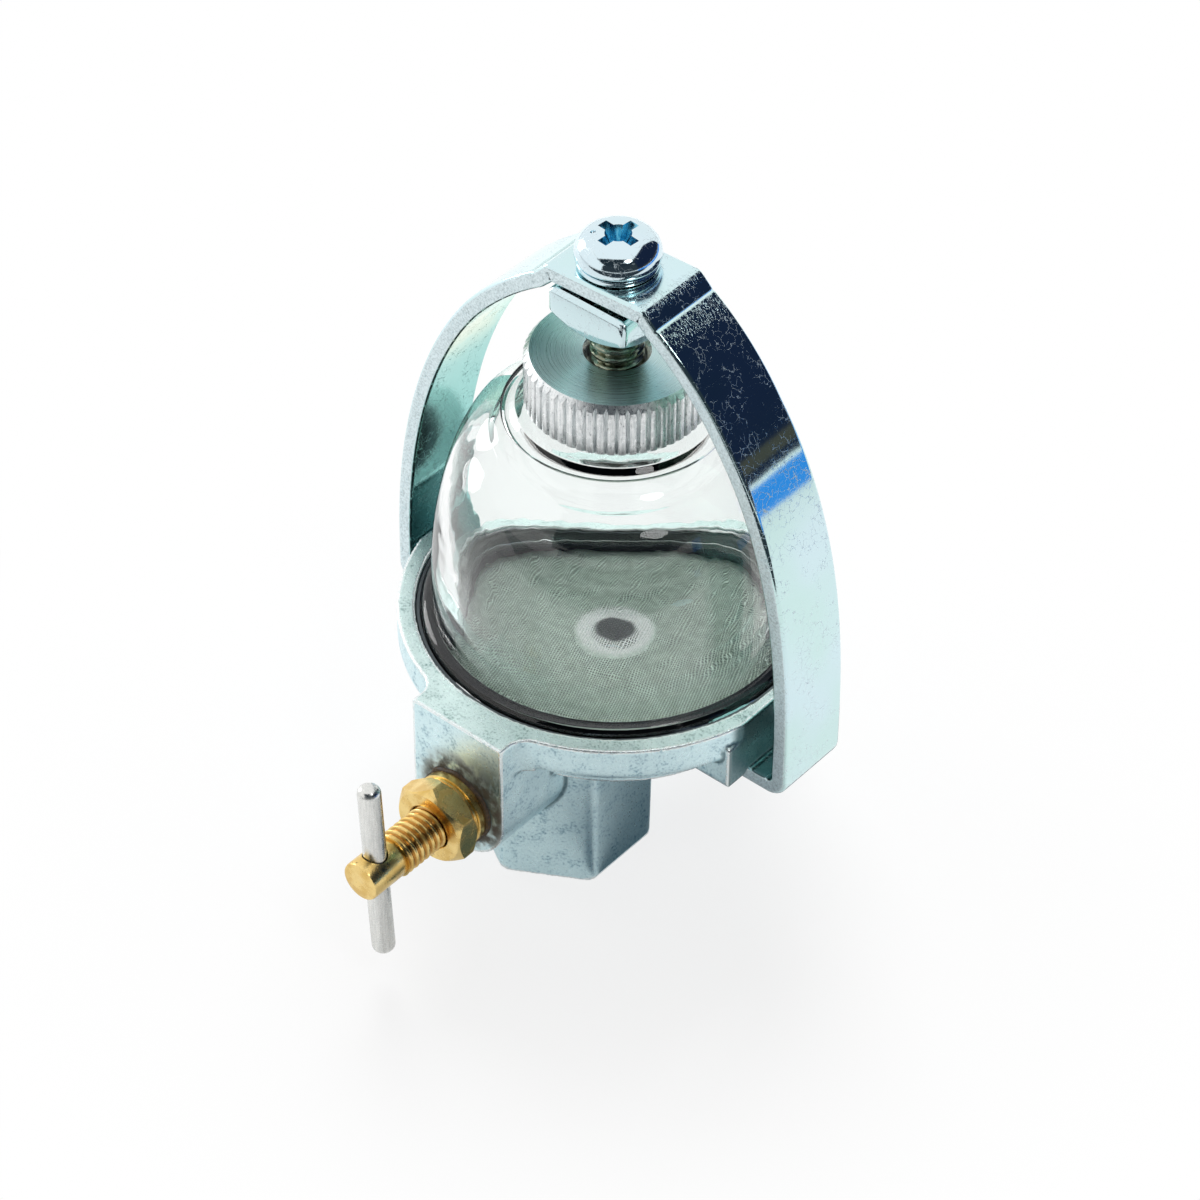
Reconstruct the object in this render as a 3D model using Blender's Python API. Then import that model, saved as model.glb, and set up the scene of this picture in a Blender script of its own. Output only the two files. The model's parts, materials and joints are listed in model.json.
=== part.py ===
"""Glass-bowl strainer filter with a needle shut-off valve.

The head is a die casting that stands on its hexagonal pipe boss. A strap bail hooks under the rim of the
head, and a knurled nut on the bail's screw presses a glass bowl down on its gasket. A brass needle valve
with a cross-pin handle closes the way from the pipe port to the middle of the bowl.

Every piece is modelled about the bowl's axis, with its heights counted from the top of the casting's rim.
The head_frame empty then lifts the whole part on to the foot of its hexagon. The valve's pieces are turned
about the valve_axis empty, whose local Z runs out of the block towards the handle.
"""

from math import asin, cos, hypot, pi, radians, sin, sqrt, tan

import bmesh
import bpy
from mathutils import Vector

# Clearances between separate pieces
SEAT_GAP = 0.00025
FIT_GAP = 0.0003

# Smoothness of turned and bent pieces
FINE_SEGMENTS = 64
COARSE_SEGMENTS = 36
DOME_STEPS = 12
LEG_STEPS = 24
CURVE_STEPS = 8
EDGE_STEPS = 4

# Casting: the round head
BODY_HEIGHT = 0.0293
RIM_OUTER_RADIUS = 0.0257
RIM_WALL = 0.0022
RIM_HEIGHT = 0.0050
RIM_EDGE_ROUND = 0.0012
SEAT_DEPTH = 0.0047
LEDGE_WIDTH = 0.0045
GALLERY_DEPTH = 0.0026
FLOOR_THICKNESS = 0.0026
SKIRT_SETBACK = 0.0052
RISER_BORE_RADIUS = 0.00265
RISER_BOSS_WALL = 0.0024

# Casting: flats, pads and lugs for the bail's hooks
FLAT_DEPTH = 0.0008
PAD_DROP = 0.0029
PAD_LENGTH = 0.0056
LUG_DROP = 0.0005
LUG_THICKNESS = 0.0034
LUG_SIDE_GAP = 0.0006

# Casting: valve block
BLOCK_WIDTH = 0.0136
BLOCK_PROUD = 0.0024
BLOCK_FILLET = 0.0026
VALVE_AXIS_DEPTH = 0.0125

# Casting: hexagonal pipe boss and the outlet boss behind it
HEX_ACROSS_FLATS = 0.0190
HEX_CORNER_ROUND = 0.0016
HEX_DRAFT = 0.03
HEX_OFFSET = 0.0096
PORT_RADIUS = 0.0056
PORT_DEPTH = 0.0125
PORT_LEAD_IN = 0.0006
PORT_WAY_RADIUS = 0.0028
OUTLET_BOSS_RADIUS = 0.0066
OUTLET_SETBACK = 0.0005
OUTLET_ROOT = 0.0077
OUTLET_RADIUS = 0.0043
OUTLET_DEPTH = 0.0100
OUTLET_WAY_RADIUS = 0.0022
OUTLET_DROP_RADIUS = 0.0019

# Screen, gasket and glass bowl
SCREEN_THICKNESS = 0.00045
SCREEN_OVERLAP = 0.0014
GASKET_THICKNESS = 0.0012
BOWL_SIDE_GAP = 0.0006
BOWL_BEAD = 0.00135
BOWL_BEAD_HEIGHT = 0.0031
BOWL_WALL = 0.0023
BOWL_CROWN = 0.0034
BOWL_HEIGHT = 0.0327
BOWL_DOME_HEIGHT = 0.0258
BOWL_FLAT_RADIUS = 0.0118

# Thumb nut, its pad, screw and square nut
SCREW_RADIUS = 0.0031
SCREW_PITCH = 0.00127
SCREW_HEAD_RADIUS = 0.00495
SCREW_HEAD_HEIGHT = 0.0030
SCREW_HEAD_EDGE = 0.0012
SCREW_HEAD_FLAT_RADIUS = 0.0022
SCREW_TIP_CHAMFER = 0.0006
SCREW_TIP_COVER = 0.0006
RECESS_LENGTH = 0.0046
RECESS_WIDTH = 0.0012
RECESS_DEPTH = 0.0018
THUMB_NUT_RADIUS = 0.0106
THUMB_NUT_HEIGHT = 0.0070
THUMB_NUT_CHAMFER = 0.00065
THUMB_NUT_TURNS = 3.5
THUMB_NUT_STOP_GAP = 0.0004
KNURL_TEETH = 54
KNURL_DEPTH = 0.00045
KNURL_CREST_SHARE = 0.45
KNURL_FLANK_SHARE = 0.15
PAD_RADIUS = 0.0085
PAD_THICKNESS = 0.00105
PAD_RECESS_DEPTH = 0.0009
SQUARE_NUT_WIDTH = 0.0111
SQUARE_NUT_HEIGHT = 0.0046
SQUARE_NUT_CORNER = 0.0006
SQUARE_NUT_CHAMFER = 0.0012
WASHER_THICKNESS = 0.0011
WASHER_WIDTH = 0.0013
WASHER_SPLIT = 0.0007

# Bail strap
STRAP_THICKNESS = 0.0021
STRAP_WIDTH = 0.0102
STRAP_STANDOFF = 0.0030
STRAP_NUT_GAP = 0.0006
STEP_DROP = 0.0018
STEP_SLOPE = radians(44)
LEG_START_SLOPE = radians(33)
LEG_START_PULL = 0.29
LEG_END_PULL = 0.46
FOOT_STRAIGHT = 0.0040
FOOT_BEND_RADIUS = 0.0027
LIP_GRIP = 0.0029

# Needle valve
BONNET_ACROSS_FLATS = 0.0095
BONNET_HEX_LENGTH = 0.0033
BONNET_HEX_CHAMFER = 0.0009
BONNET_HEX_FACE_RADIUS = 0.0046
BONNET_COLLAR_RADIUS = 0.0047
BONNET_COLLAR_LENGTH = 0.00155
BONNET_SHANK_RADIUS = 0.0040
BONNET_SHANK_LENGTH = 0.0059
PACKING_LENGTH = 0.0023
PACKING_WASHER_THICKNESS = 0.0006
STEM_RADIUS = 0.0025
STEM_THREAD_RADIUS = 0.00275
STEM_THREAD_LENGTH = 0.0149
STEM_PLAIN_END = 0.0055
STEM_OUT = 0.0117
STEM_END_CHAMFER = 0.0003
STEM_NOSE_RADIUS = 0.0017
STEM_NOSE_LENGTH = 0.0050
NEEDLE_RADIUS = 0.0015
NEEDLE_CONE_LENGTH = 0.0034
NEEDLE_TIP_RADIUS = 0.0004
NEEDLE_TANG_RADIUS = 0.0008
NEEDLE_TANG_LENGTH = 0.0026
NEEDLE_SEAT_OFFSET = 0.0030
NEEDLE_LEAD = 0.0005
SEAT_LENGTH = 0.0026
SEAT_WAY_RADIUS = 0.0014
STEM_BORE_RADIUS = 0.0031
PIN_RADIUS = 0.0014
PIN_LENGTH = 0.0254
PIN_END_ROUND = 0.0006
PIN_FROM_END = 0.0028
PIN_LEAN = radians(3.3)

# Casting levels and radii that follow from the sizes above
RIM_INNER_RADIUS = RIM_OUTER_RADIUS - RIM_WALL
LEDGE_RADIUS = RIM_INNER_RADIUS - LEDGE_WIDTH
SKIRT_RADIUS = RIM_OUTER_RADIUS - SKIRT_SETBACK
GALLERY_FLOOR = -SEAT_DEPTH - GALLERY_DEPTH
CUP_UNDERSIDE = GALLERY_FLOOR - FLOOR_THICKNESS
RISER_BOSS_RADIUS = RISER_BORE_RADIUS + RISER_BOSS_WALL
FLAT_X = RIM_OUTER_RADIUS - FLAT_DEPTH
PAD_UNDERSIDE = -RIM_HEIGHT - PAD_DROP
BLOCK_REACH = RIM_OUTER_RADIUS + BLOCK_PROUD
OUTLET_REACH = RIM_OUTER_RADIUS - OUTLET_SETBACK
LUG_START = STRAP_WIDTH / 2 + LUG_SIDE_GAP

# The stack from the ledge up to the screw's head
SCREEN_BOTTOM = -SEAT_DEPTH + SEAT_GAP
SCREEN_TOP = SCREEN_BOTTOM + SCREEN_THICKNESS
GASKET_BOTTOM = SCREEN_TOP + SEAT_GAP
GASKET_TOP = GASKET_BOTTOM + GASKET_THICKNESS
BOWL_BOTTOM = GASKET_TOP + SEAT_GAP
BOWL_TOP = BOWL_BOTTOM + BOWL_HEIGHT
PAD_BOTTOM = BOWL_TOP + SEAT_GAP
PAD_TOP = PAD_BOTTOM + PAD_THICKNESS
THUMB_NUT_BOTTOM = PAD_TOP + SEAT_GAP - PAD_RECESS_DEPTH
THUMB_NUT_TOP = THUMB_NUT_BOTTOM + THUMB_NUT_HEIGHT
THUMB_NUT_TRAVEL = THUMB_NUT_TURNS * SCREW_PITCH
SQUARE_NUT_BOTTOM = THUMB_NUT_TOP + THUMB_NUT_TRAVEL + THUMB_NUT_STOP_GAP
SQUARE_NUT_TOP = SQUARE_NUT_BOTTOM + SQUARE_NUT_HEIGHT
STRAP_UNDERSIDE = SQUARE_NUT_TOP + SEAT_GAP
STRAP_TOP = STRAP_UNDERSIDE + STRAP_THICKNESS
WASHER_BOTTOM = STRAP_TOP + SEAT_GAP
WASHER_TOP = WASHER_BOTTOM + WASHER_THICKNESS
HEAD_BOTTOM = WASHER_TOP + SEAT_GAP
SCREW_TIP = THUMB_NUT_BOTTOM + PAD_RECESS_DEPTH + SCREW_TIP_COVER

# Bowl radii
BEAD_RADIUS = RIM_INNER_RADIUS - BOWL_SIDE_GAP
BOWL_RADIUS = BEAD_RADIUS - BOWL_BEAD
BOWL_MOUTH_RADIUS = BOWL_RADIUS - BOWL_WALL
SCREEN_RADIUS = LEDGE_RADIUS + SCREEN_OVERLAP

# Places along the valve's axis, counted outwards from the bowl's axis
SEAT_INNER_END = NEEDLE_SEAT_OFFSET
SEAT_OUTER_END = SEAT_INNER_END + SEAT_LENGTH
BONNET_COLLAR_START = BLOCK_REACH + SEAT_GAP
BONNET_SHANK_START = BONNET_COLLAR_START - BONNET_SHANK_LENGTH
BONNET_HEX_START = BONNET_COLLAR_START + BONNET_COLLAR_LENGTH
BONNET_FACE = BONNET_HEX_START + BONNET_HEX_LENGTH
OUTER_WASHER_START = BONNET_SHANK_START - SEAT_GAP - PACKING_WASHER_THICKNESS
PACKING_START = OUTER_WASHER_START - SEAT_GAP - PACKING_LENGTH
INNER_WASHER_START = PACKING_START - SEAT_GAP - PACKING_WASHER_THICKNESS
PACKING_SHOULDER = INNER_WASHER_START - SEAT_GAP
BONNET_HOLE_RADIUS = BONNET_SHANK_RADIUS + FIT_GAP
STEM_END = BONNET_FACE + STEM_OUT
STEM_THREAD_END = STEM_END - STEM_PLAIN_END
STEM_THREAD_START = STEM_THREAD_END - STEM_THREAD_LENGTH
NEEDLE_BACK = SEAT_OUTER_END + NEEDLE_LEAD
STEM_NOSE_END = NEEDLE_BACK + SEAT_GAP
PIN_PLACE = STEM_END - PIN_FROM_END
NEEDLE_SLOPE = (NEEDLE_RADIUS - NEEDLE_TIP_RADIUS) / NEEDLE_CONE_LENGTH


def clear_scene():
    for item in list(bpy.data.objects):
        bpy.data.objects.remove(item, do_unlink=True)


def material(name, color, roughness, metallic, transmission=0.0):
    made = bpy.data.materials.new(name)
    made.use_nodes = True
    shader = made.node_tree.nodes["Principled BSDF"]
    shader.inputs["Base Color"].default_value = (*color, 1.0)
    shader.inputs["Roughness"].default_value = roughness
    shader.inputs["Metallic"].default_value = metallic
    shader.inputs["Transmission Weight"].default_value = transmission
    return made


def empty(name, parent=None, location=(0, 0, 0), rotation=(0, 0, 0)):
    made = bpy.data.objects.new(name, None)
    bpy.context.collection.objects.link(made)
    made.parent = parent
    made.location = location
    made.rotation_euler = rotation
    return made


def object_from(name, bm, parent, finish=None, location=(0, 0, 0), rotation=(0, 0, 0)):
    """Turn a bmesh into a named object with smooth round faces and sharp edges."""
    bmesh.ops.recalc_face_normals(bm, faces=bm.faces)
    mesh = bpy.data.meshes.new(name)
    bm.to_mesh(mesh)
    bm.free()
    mesh.shade_smooth()
    mesh.set_sharp_from_angle(angle=radians(35))
    made = bpy.data.objects.new(name, mesh)
    bpy.context.collection.objects.link(made)
    made.parent = parent
    made.location = location
    made.rotation_euler = rotation
    if finish:
        mesh.materials.append(finish)
    return made


def turned(profile, segments):
    """A solid turned about local Z from a closed outline of (radius, height) points."""
    bm = bmesh.new()
    rings = []
    for radius, height in profile:
        if radius == 0:
            rings.append([bm.verts.new((0, 0, height))])
            continue
        ring = []
        for step in range(segments):
            angle = 2 * pi * step / segments
            ring.append(bm.verts.new((radius * cos(angle), radius * sin(angle), height)))
        rings.append(ring)
    for first, second in zip(rings, rings[1:] + rings[:1]):
        if len(first) == 1 and len(second) == 1:
            continue
        for step in range(segments):
            after = (step + 1) % segments
            corners = [first[step % len(first)], first[after % len(first)]]
            corners += [second[after % len(second)], second[step % len(second)]]
            unique = list(dict.fromkeys(corners))
            bm.faces.new(unique)
    return bm


def prism(outline, low, high, top_scale=1.0, center=(0, 0)):
    """A closed outline of (x, y) points stretched from low to high, with an optional draft about center."""
    bm = bmesh.new()
    bottom = [bm.verts.new((x, y, low)) for x, y in outline]
    top = []
    for x, y in outline:
        shifted_x = center[0] + (x - center[0]) * top_scale
        shifted_y = center[1] + (y - center[1]) * top_scale
        top.append(bm.verts.new((shifted_x, shifted_y, high)))
    bm.faces.new(bottom)
    bm.faces.new(top)
    for index in range(len(outline)):
        after = (index + 1) % len(outline)
        bm.faces.new((bottom[index], bottom[after], top[after], top[index]))
    return bm


def box_outline(x_low, x_high, y_low, y_high):
    return [(x_low, y_low), (x_high, y_low), (x_high, y_high), (x_low, y_high)]


def arc(center_x, center_y, radius, start, end, steps=CURVE_STEPS):
    """Points on an arc from one angle to another, both ends included."""
    points = []
    for step in range(steps + 1):
        angle = start + (end - start) * step / steps
        points.append((center_x + radius * cos(angle), center_y + radius * sin(angle)))
    return points


def rounded_polygon(sides, inradius, corner_radius, first_corner, center=(0, 0)):
    """A regular polygon with rounded corners; first_corner is the angle of its first corner."""
    outline = []
    half = pi / sides
    reach = (inradius - corner_radius) / cos(half)
    for side in range(sides):
        corner = first_corner + 2 * pi * side / sides
        middle_x = center[0] + reach * cos(corner)
        middle_y = center[1] + reach * sin(corner)
        outline += arc(middle_x, middle_y, corner_radius, corner - half, corner + half, EDGE_STEPS)
    return outline


def combine(target, tool, operation):
    """Add a Boolean to target and keep its tool, or each tool of a group, as a hidden guide."""
    group = isinstance(tool, bpy.types.Collection)
    for guide in tool.objects if group else [tool]:
        guide.hide_render = True
        guide.display_type = "WIRE"
    change = target.modifiers.new(tool.name, "BOOLEAN")
    change.operation = operation
    change.solver = "EXACT"
    if group:
        change.operand_type = "COLLECTION"
        change.collection = tool
    else:
        change.object = tool


def group_of(name, objects):
    """Move objects into a collection of their own, so that one Boolean takes them all."""
    group = bpy.data.collections.new(name)
    bpy.context.scene.collection.children.link(group)
    for item in objects:
        for holder in list(item.users_collection):
            holder.objects.unlink(item)
        group.objects.link(item)
    return group


def head_outline():
    """Outside of the casting's round head: straight rim, coned underside and a short skirt."""
    outline = [(0, 0), (RIM_OUTER_RADIUS, 0)]
    edge_center = (RIM_OUTER_RADIUS - RIM_EDGE_ROUND, RIM_EDGE_ROUND - RIM_HEIGHT)
    outline += arc(*edge_center, RIM_EDGE_ROUND, 0, -pi / 2, EDGE_STEPS)
    outline += [(SKIRT_RADIUS, GALLERY_FLOOR), (SKIRT_RADIUS, CUP_UNDERSIDE), (0, CUP_UNDERSIDE)]
    return outline


def seat_outline():
    """Space cut out of the head: the bowl's seat and the gallery round the riser boss."""
    return [
        (0, RIM_HEIGHT),
        (RIM_INNER_RADIUS, RIM_HEIGHT),
        (RIM_INNER_RADIUS, -SEAT_DEPTH),
        (LEDGE_RADIUS, -SEAT_DEPTH),
        (LEDGE_RADIUS, GALLERY_FLOOR),
        (RISER_BOSS_RADIUS, GALLERY_FLOOR),
        (RISER_BOSS_RADIUS, -SEAT_DEPTH),
        (0, -SEAT_DEPTH),
    ]


def block_plan():
    """Plan of the valve block at rim level, flared into the rim by a fillet on each side."""
    half = BLOCK_WIDTH / 2
    fillet_x = half + BLOCK_FILLET
    fillet_y = -sqrt((RIM_OUTER_RADIUS + BLOCK_FILLET) ** 2 - fillet_x ** 2)
    touch = asin(fillet_x / (RIM_OUTER_RADIUS + BLOCK_FILLET))
    inside = RIM_OUTER_RADIUS - RIM_WALL / 2
    right = [(half, -BLOCK_REACH)]
    right += arc(fillet_x, fillet_y, BLOCK_FILLET, pi, pi / 2 + touch)
    right.append((inside * sin(touch), -inside * cos(touch)))
    left = [(-x, y) for x, y in reversed(right)]
    return right + left


def valve_housing_section():
    """Section of the valve housing across its axis: flat sides with a half-round underside."""
    half = BLOCK_WIDTH / 2
    underside = arc(0, 0, half, pi, 2 * pi, 2 * CURVE_STEPS)
    top = VALVE_AXIS_DEPTH - RIM_HEIGHT / 2
    return underside + [(half, top), (-half, top)]


def build_body(frame, valve_axis, finish):
    body = object_from("body_casting", turned(head_outline(), FINE_SEGMENTS), frame, finish)
    added = [
        object_from("block_guide", prism(block_plan(), -RIM_HEIGHT, 0), frame),
        object_from("housing_guide", prism(valve_housing_section(), HEX_OFFSET, BLOCK_REACH), valve_axis),
    ]
    hexagon = rounded_polygon(6, HEX_ACROSS_FLATS / 2, HEX_CORNER_ROUND, pi / 2, (0, -HEX_OFFSET))
    boss_top = CUP_UNDERSIDE + FLOOR_THICKNESS / 2
    boss = prism(hexagon, -BODY_HEIGHT, boss_top, 1 + HEX_DRAFT, (0, -HEX_OFFSET))
    added.append(object_from("hex_boss_guide", boss, frame))
    outlet = [
        (0, OUTLET_ROOT),
        (OUTLET_BOSS_RADIUS, OUTLET_ROOT),
        (OUTLET_BOSS_RADIUS, -OUTLET_REACH),
        (0, -OUTLET_REACH),
    ]
    added.append(object_from("outlet_boss_guide", turned(outlet, COARSE_SEGMENTS), valve_axis))
    removed = [object_from("bowl_seat_cutter", turned(seat_outline(), FINE_SEGMENTS), frame)]
    for side in (-1, 1):
        added += hook_seat(frame, side)
        removed.append(hook_flat(frame, side))
    removed += port_cutters(frame, valve_axis)
    combine(body, group_of("casting_additions", added), "UNION")
    combine(body, group_of("casting_cutters", removed), "DIFFERENCE")


def hook_seat(frame, side):
    """Pad under the rim for the bail's lip, with a lug on each side of it."""
    label = "right" if side > 0 else "left"
    inner_x, outer_x = sorted((side * (FLAT_X - PAD_LENGTH), side * RIM_OUTER_RADIUS))
    top = -RIM_HEIGHT / 2
    pad_plan = box_outline(inner_x, outer_x, -LUG_START - LUG_THICKNESS / 2, LUG_START + LUG_THICKNESS / 2)
    pieces = [object_from(label + "_pad_guide", prism(pad_plan, PAD_UNDERSIDE, top), frame)]
    for hand in (-1, 1):
        near_y, far_y = sorted((hand * LUG_START, hand * (LUG_START + LUG_THICKNESS)))
        lug_plan = box_outline(inner_x, outer_x, near_y, far_y)
        lug = prism(lug_plan, PAD_UNDERSIDE - LUG_DROP, top)
        name = label + ("_back_lug_guide" if hand > 0 else "_front_lug_guide")
        pieces.append(object_from(name, lug, frame))
    return pieces


def hook_flat(frame, side):
    """Cutter for the flat on the rim behind one leg of the bail."""
    beyond = sorted((side * FLAT_X, side * 2 * RIM_OUTER_RADIUS))
    flat_plan = box_outline(*beyond, -RIM_OUTER_RADIUS, RIM_OUTER_RADIUS)
    name = ("right" if side > 0 else "left") + "_flat_cutter"
    return object_from(name, prism(flat_plan, -BODY_HEIGHT, RIM_HEIGHT), frame)


def port_cutters(frame, valve_axis):
    """Cutters for the valve bore, the inlet port, the riser and the outlet ways."""
    valve_bore = [
        (0, 2 * BLOCK_REACH),
        (BONNET_HOLE_RADIUS, 2 * BLOCK_REACH),
        (BONNET_HOLE_RADIUS, PACKING_SHOULDER),
        (STEM_BORE_RADIUS, PACKING_SHOULDER),
        (STEM_BORE_RADIUS, SEAT_INNER_END - SEAT_GAP),
        (SEAT_WAY_RADIUS, SEAT_INNER_END - SEAT_GAP),
        (SEAT_WAY_RADIUS, 0),
        (0, 0),
    ]
    port_end = -BODY_HEIGHT + PORT_DEPTH
    port = [
        (0, -VALVE_AXIS_DEPTH),
        (PORT_WAY_RADIUS, -VALVE_AXIS_DEPTH),
        (PORT_WAY_RADIUS, port_end),
        (PORT_RADIUS, port_end),
        (PORT_RADIUS, -BODY_HEIGHT + PORT_LEAD_IN),
        (PORT_RADIUS + 2 * PORT_LEAD_IN, -BODY_HEIGHT - PORT_LEAD_IN),
        (0, -BODY_HEIGHT - PORT_LEAD_IN),
    ]
    riser_foot = -VALVE_AXIS_DEPTH - SEAT_WAY_RADIUS
    riser = [
        (0, SEAT_DEPTH),
        (RISER_BORE_RADIUS, SEAT_DEPTH),
        (RISER_BORE_RADIUS, riser_foot),
        (0, riser_foot),
    ]
    outlet_end = OUTLET_REACH - OUTLET_DEPTH
    drop = [
        (0, -SEAT_DEPTH),
        (OUTLET_DROP_RADIUS, -SEAT_DEPTH),
        (OUTLET_DROP_RADIUS, -VALVE_AXIS_DEPTH),
        (0, -VALVE_AXIS_DEPTH),
    ]
    outlet = [
        (0, -outlet_end + 2 * OUTLET_WAY_RADIUS),
        (OUTLET_WAY_RADIUS, -outlet_end + 2 * OUTLET_WAY_RADIUS),
        (OUTLET_WAY_RADIUS, -outlet_end),
        (OUTLET_RADIUS, -outlet_end),
        (OUTLET_RADIUS, -2 * OUTLET_REACH),
        (0, -2 * OUTLET_REACH),
    ]
    at_port = (0, -HEX_OFFSET, 0)
    at_drop = (0, outlet_end - OUTLET_WAY_RADIUS, 0)
    return [
        object_from("valve_bore_cutter", turned(valve_bore, COARSE_SEGMENTS), valve_axis),
        object_from("port_cutter", turned(port, COARSE_SEGMENTS), frame, None, at_port),
        object_from("riser_cutter", turned(riser, COARSE_SEGMENTS), frame),
        object_from("outlet_drop_cutter", turned(drop, COARSE_SEGMENTS), frame, None, at_drop),
        object_from("outlet_cutter", turned(outlet, COARSE_SEGMENTS), valve_axis),
    ]


def bowl_outline():
    """Outside of the bowl from its crown down to the bead, then its inside back up."""
    dome_foot = BOWL_TOP - BOWL_DOME_HEIGHT
    bead_top = BOWL_BOTTOM + BOWL_BEAD_HEIGHT
    mouth_round = BOWL_BEAD / 3
    inner_top = BOWL_TOP - BOWL_CROWN
    outline = [(0, BOWL_TOP)]
    for step in range(DOME_STEPS + 1):
        angle = pi / 2 * (1 - step / DOME_STEPS)
        radius = BOWL_FLAT_RADIUS + (BOWL_RADIUS - BOWL_FLAT_RADIUS) * cos(angle)
        outline.append((radius, dome_foot + BOWL_DOME_HEIGHT * sin(angle)))
    outline += arc(BOWL_RADIUS, bead_top - BOWL_BEAD, BOWL_BEAD, pi / 2, 0, EDGE_STEPS)
    mouth_level = BOWL_BOTTOM + mouth_round
    outline += [(BEAD_RADIUS, mouth_level), (BEAD_RADIUS - mouth_round, BOWL_BOTTOM)]
    outline += [(BOWL_MOUTH_RADIUS + mouth_round, BOWL_BOTTOM), (BOWL_MOUTH_RADIUS, mouth_level)]
    inner_flat = BOWL_FLAT_RADIUS - BOWL_WALL
    for step in range(DOME_STEPS + 1):
        angle = pi / 2 * step / DOME_STEPS
        radius = inner_flat + (BOWL_MOUTH_RADIUS - inner_flat) * cos(angle)
        outline.append((radius, dome_foot + (inner_top - dome_foot) * sin(angle)))
    outline.append((0, inner_top))
    return outline


def build_bowl_stack(frame, finishes):
    """Screen with its rim, gasket and glass bowl, stacked on the casting's ledge."""
    screen = [
        (0, SCREEN_TOP),
        (SCREEN_RADIUS, SCREEN_TOP),
        (SCREEN_RADIUS, SCREEN_BOTTOM),
        (0, SCREEN_BOTTOM),
    ]
    object_from("strainer_screen", turned(screen, FINE_SEGMENTS), frame, finishes["wire"])

    rim_inner = SCREEN_RADIUS + FIT_GAP
    rim_outer = RIM_INNER_RADIUS - FIT_GAP
    rim = [
        (rim_inner, SCREEN_TOP),
        (rim_outer, SCREEN_TOP),
        (rim_outer, SCREEN_BOTTOM),
        (rim_inner, SCREEN_BOTTOM),
    ]
    object_from("screen_rim", turned(rim, FINE_SEGMENTS), frame, finishes["tin"])

    gasket = [
        (BOWL_MOUTH_RADIUS, GASKET_TOP),
        (rim_outer, GASKET_TOP),
        (rim_outer, GASKET_BOTTOM),
        (BOWL_MOUTH_RADIUS, GASKET_BOTTOM),
    ]
    object_from("bowl_gasket", turned(gasket, FINE_SEGMENTS), frame, finishes["rubber"])
    object_from("glass_bowl", turned(bowl_outline(), FINE_SEGMENTS), frame, finishes["glass"])


def strap_leg():
    """Outer line of one half of the bail, from the middle of its crown to the end of its lip."""
    crown_end = SQUARE_NUT_WIDTH / 2 + STRAP_NUT_GAP + STRAP_THICKNESS * tan(STEP_SLOPE / 2)
    step_end = (crown_end + STEP_DROP / tan(STEP_SLOPE), STRAP_TOP - STEP_DROP)
    foot_x = FLAT_X + STRAP_STANDOFF + STRAP_THICKNESS
    lip_bottom = PAD_UNDERSIDE - SEAT_GAP - STRAP_THICKNESS
    bend_center = (foot_x - FOOT_BEND_RADIUS, lip_bottom + FOOT_BEND_RADIUS)
    leg_end = (foot_x, bend_center[1] + FOOT_STRAIGHT)
    chord = hypot(leg_end[0] - step_end[0], leg_end[1] - step_end[1])
    first_pull = LEG_START_PULL * chord
    last_pull = LEG_END_PULL * chord
    controls = [
        step_end,
        (step_end[0] + first_pull * cos(LEG_START_SLOPE), step_end[1] - first_pull * sin(LEG_START_SLOPE)),
        (leg_end[0], leg_end[1] + last_pull),
        leg_end,
    ]
    line = [(crown_end, STRAP_TOP)]
    line += [bezier(controls, step / LEG_STEPS) for step in range(LEG_STEPS + 1)]
    line += arc(*bend_center, FOOT_BEND_RADIUS, 0, -pi / 2, EDGE_STEPS)
    line.append((FLAT_X - LIP_GRIP, lip_bottom))
    return line


def bezier(controls, along):
    back = 1 - along
    weights = (back ** 3, 3 * back ** 2 * along, 3 * back * along ** 2, along ** 3)
    x = sum(weight * point[0] for weight, point in zip(weights, controls))
    z = sum(weight * point[1] for weight, point in zip(weights, controls))
    return (x, z)


def offset_inwards(line, distance):
    """A second line at a fixed distance to the right of a line, mitred at its corners."""
    shifted = []
    for index, point in enumerate(line):
        before = line[max(index - 1, 0)]
        after = line[min(index + 1, len(line) - 1)]
        heading_in = Vector((point[0] - before[0], point[1] - before[1]))
        heading_out = Vector((after[0] - point[0], after[1] - point[1]))
        if index == 0:
            heading_in = heading_out
        if index == len(line) - 1:
            heading_out = heading_in
        heading_in.normalize()
        heading_out.normalize()
        middle = (heading_in + heading_out).normalized()
        reach = distance / middle.dot(heading_in)
        shifted.append((point[0] + middle.y * reach, point[1] - middle.x * reach))
    return shifted


def build_bail(frame, finishes):
    right = strap_leg()
    outer = [(-x, z) for x, z in reversed(right)] + right
    inner = offset_inwards(outer, STRAP_THICKNESS)
    outline = outer + list(reversed(inner))
    strap_mesh = prism(outline, -STRAP_WIDTH / 2, STRAP_WIDTH / 2)
    strap = object_from("bail_strap", strap_mesh, frame, finishes["plated"], rotation=(pi / 2, 0, 0))
    hole_radius = SCREW_RADIUS + FIT_GAP
    hole = [
        (0, HEAD_BOTTOM),
        (hole_radius, HEAD_BOTTOM),
        (hole_radius, SQUARE_NUT_TOP),
        (0, SQUARE_NUT_TOP),
    ]
    combine(strap, object_from("strap_hole_cutter", turned(hole, COARSE_SEGMENTS), frame), "DIFFERENCE")
    build_screw(frame, finishes)
    build_lock_washer(frame, finishes)
    build_square_nut(frame, finishes)


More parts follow.
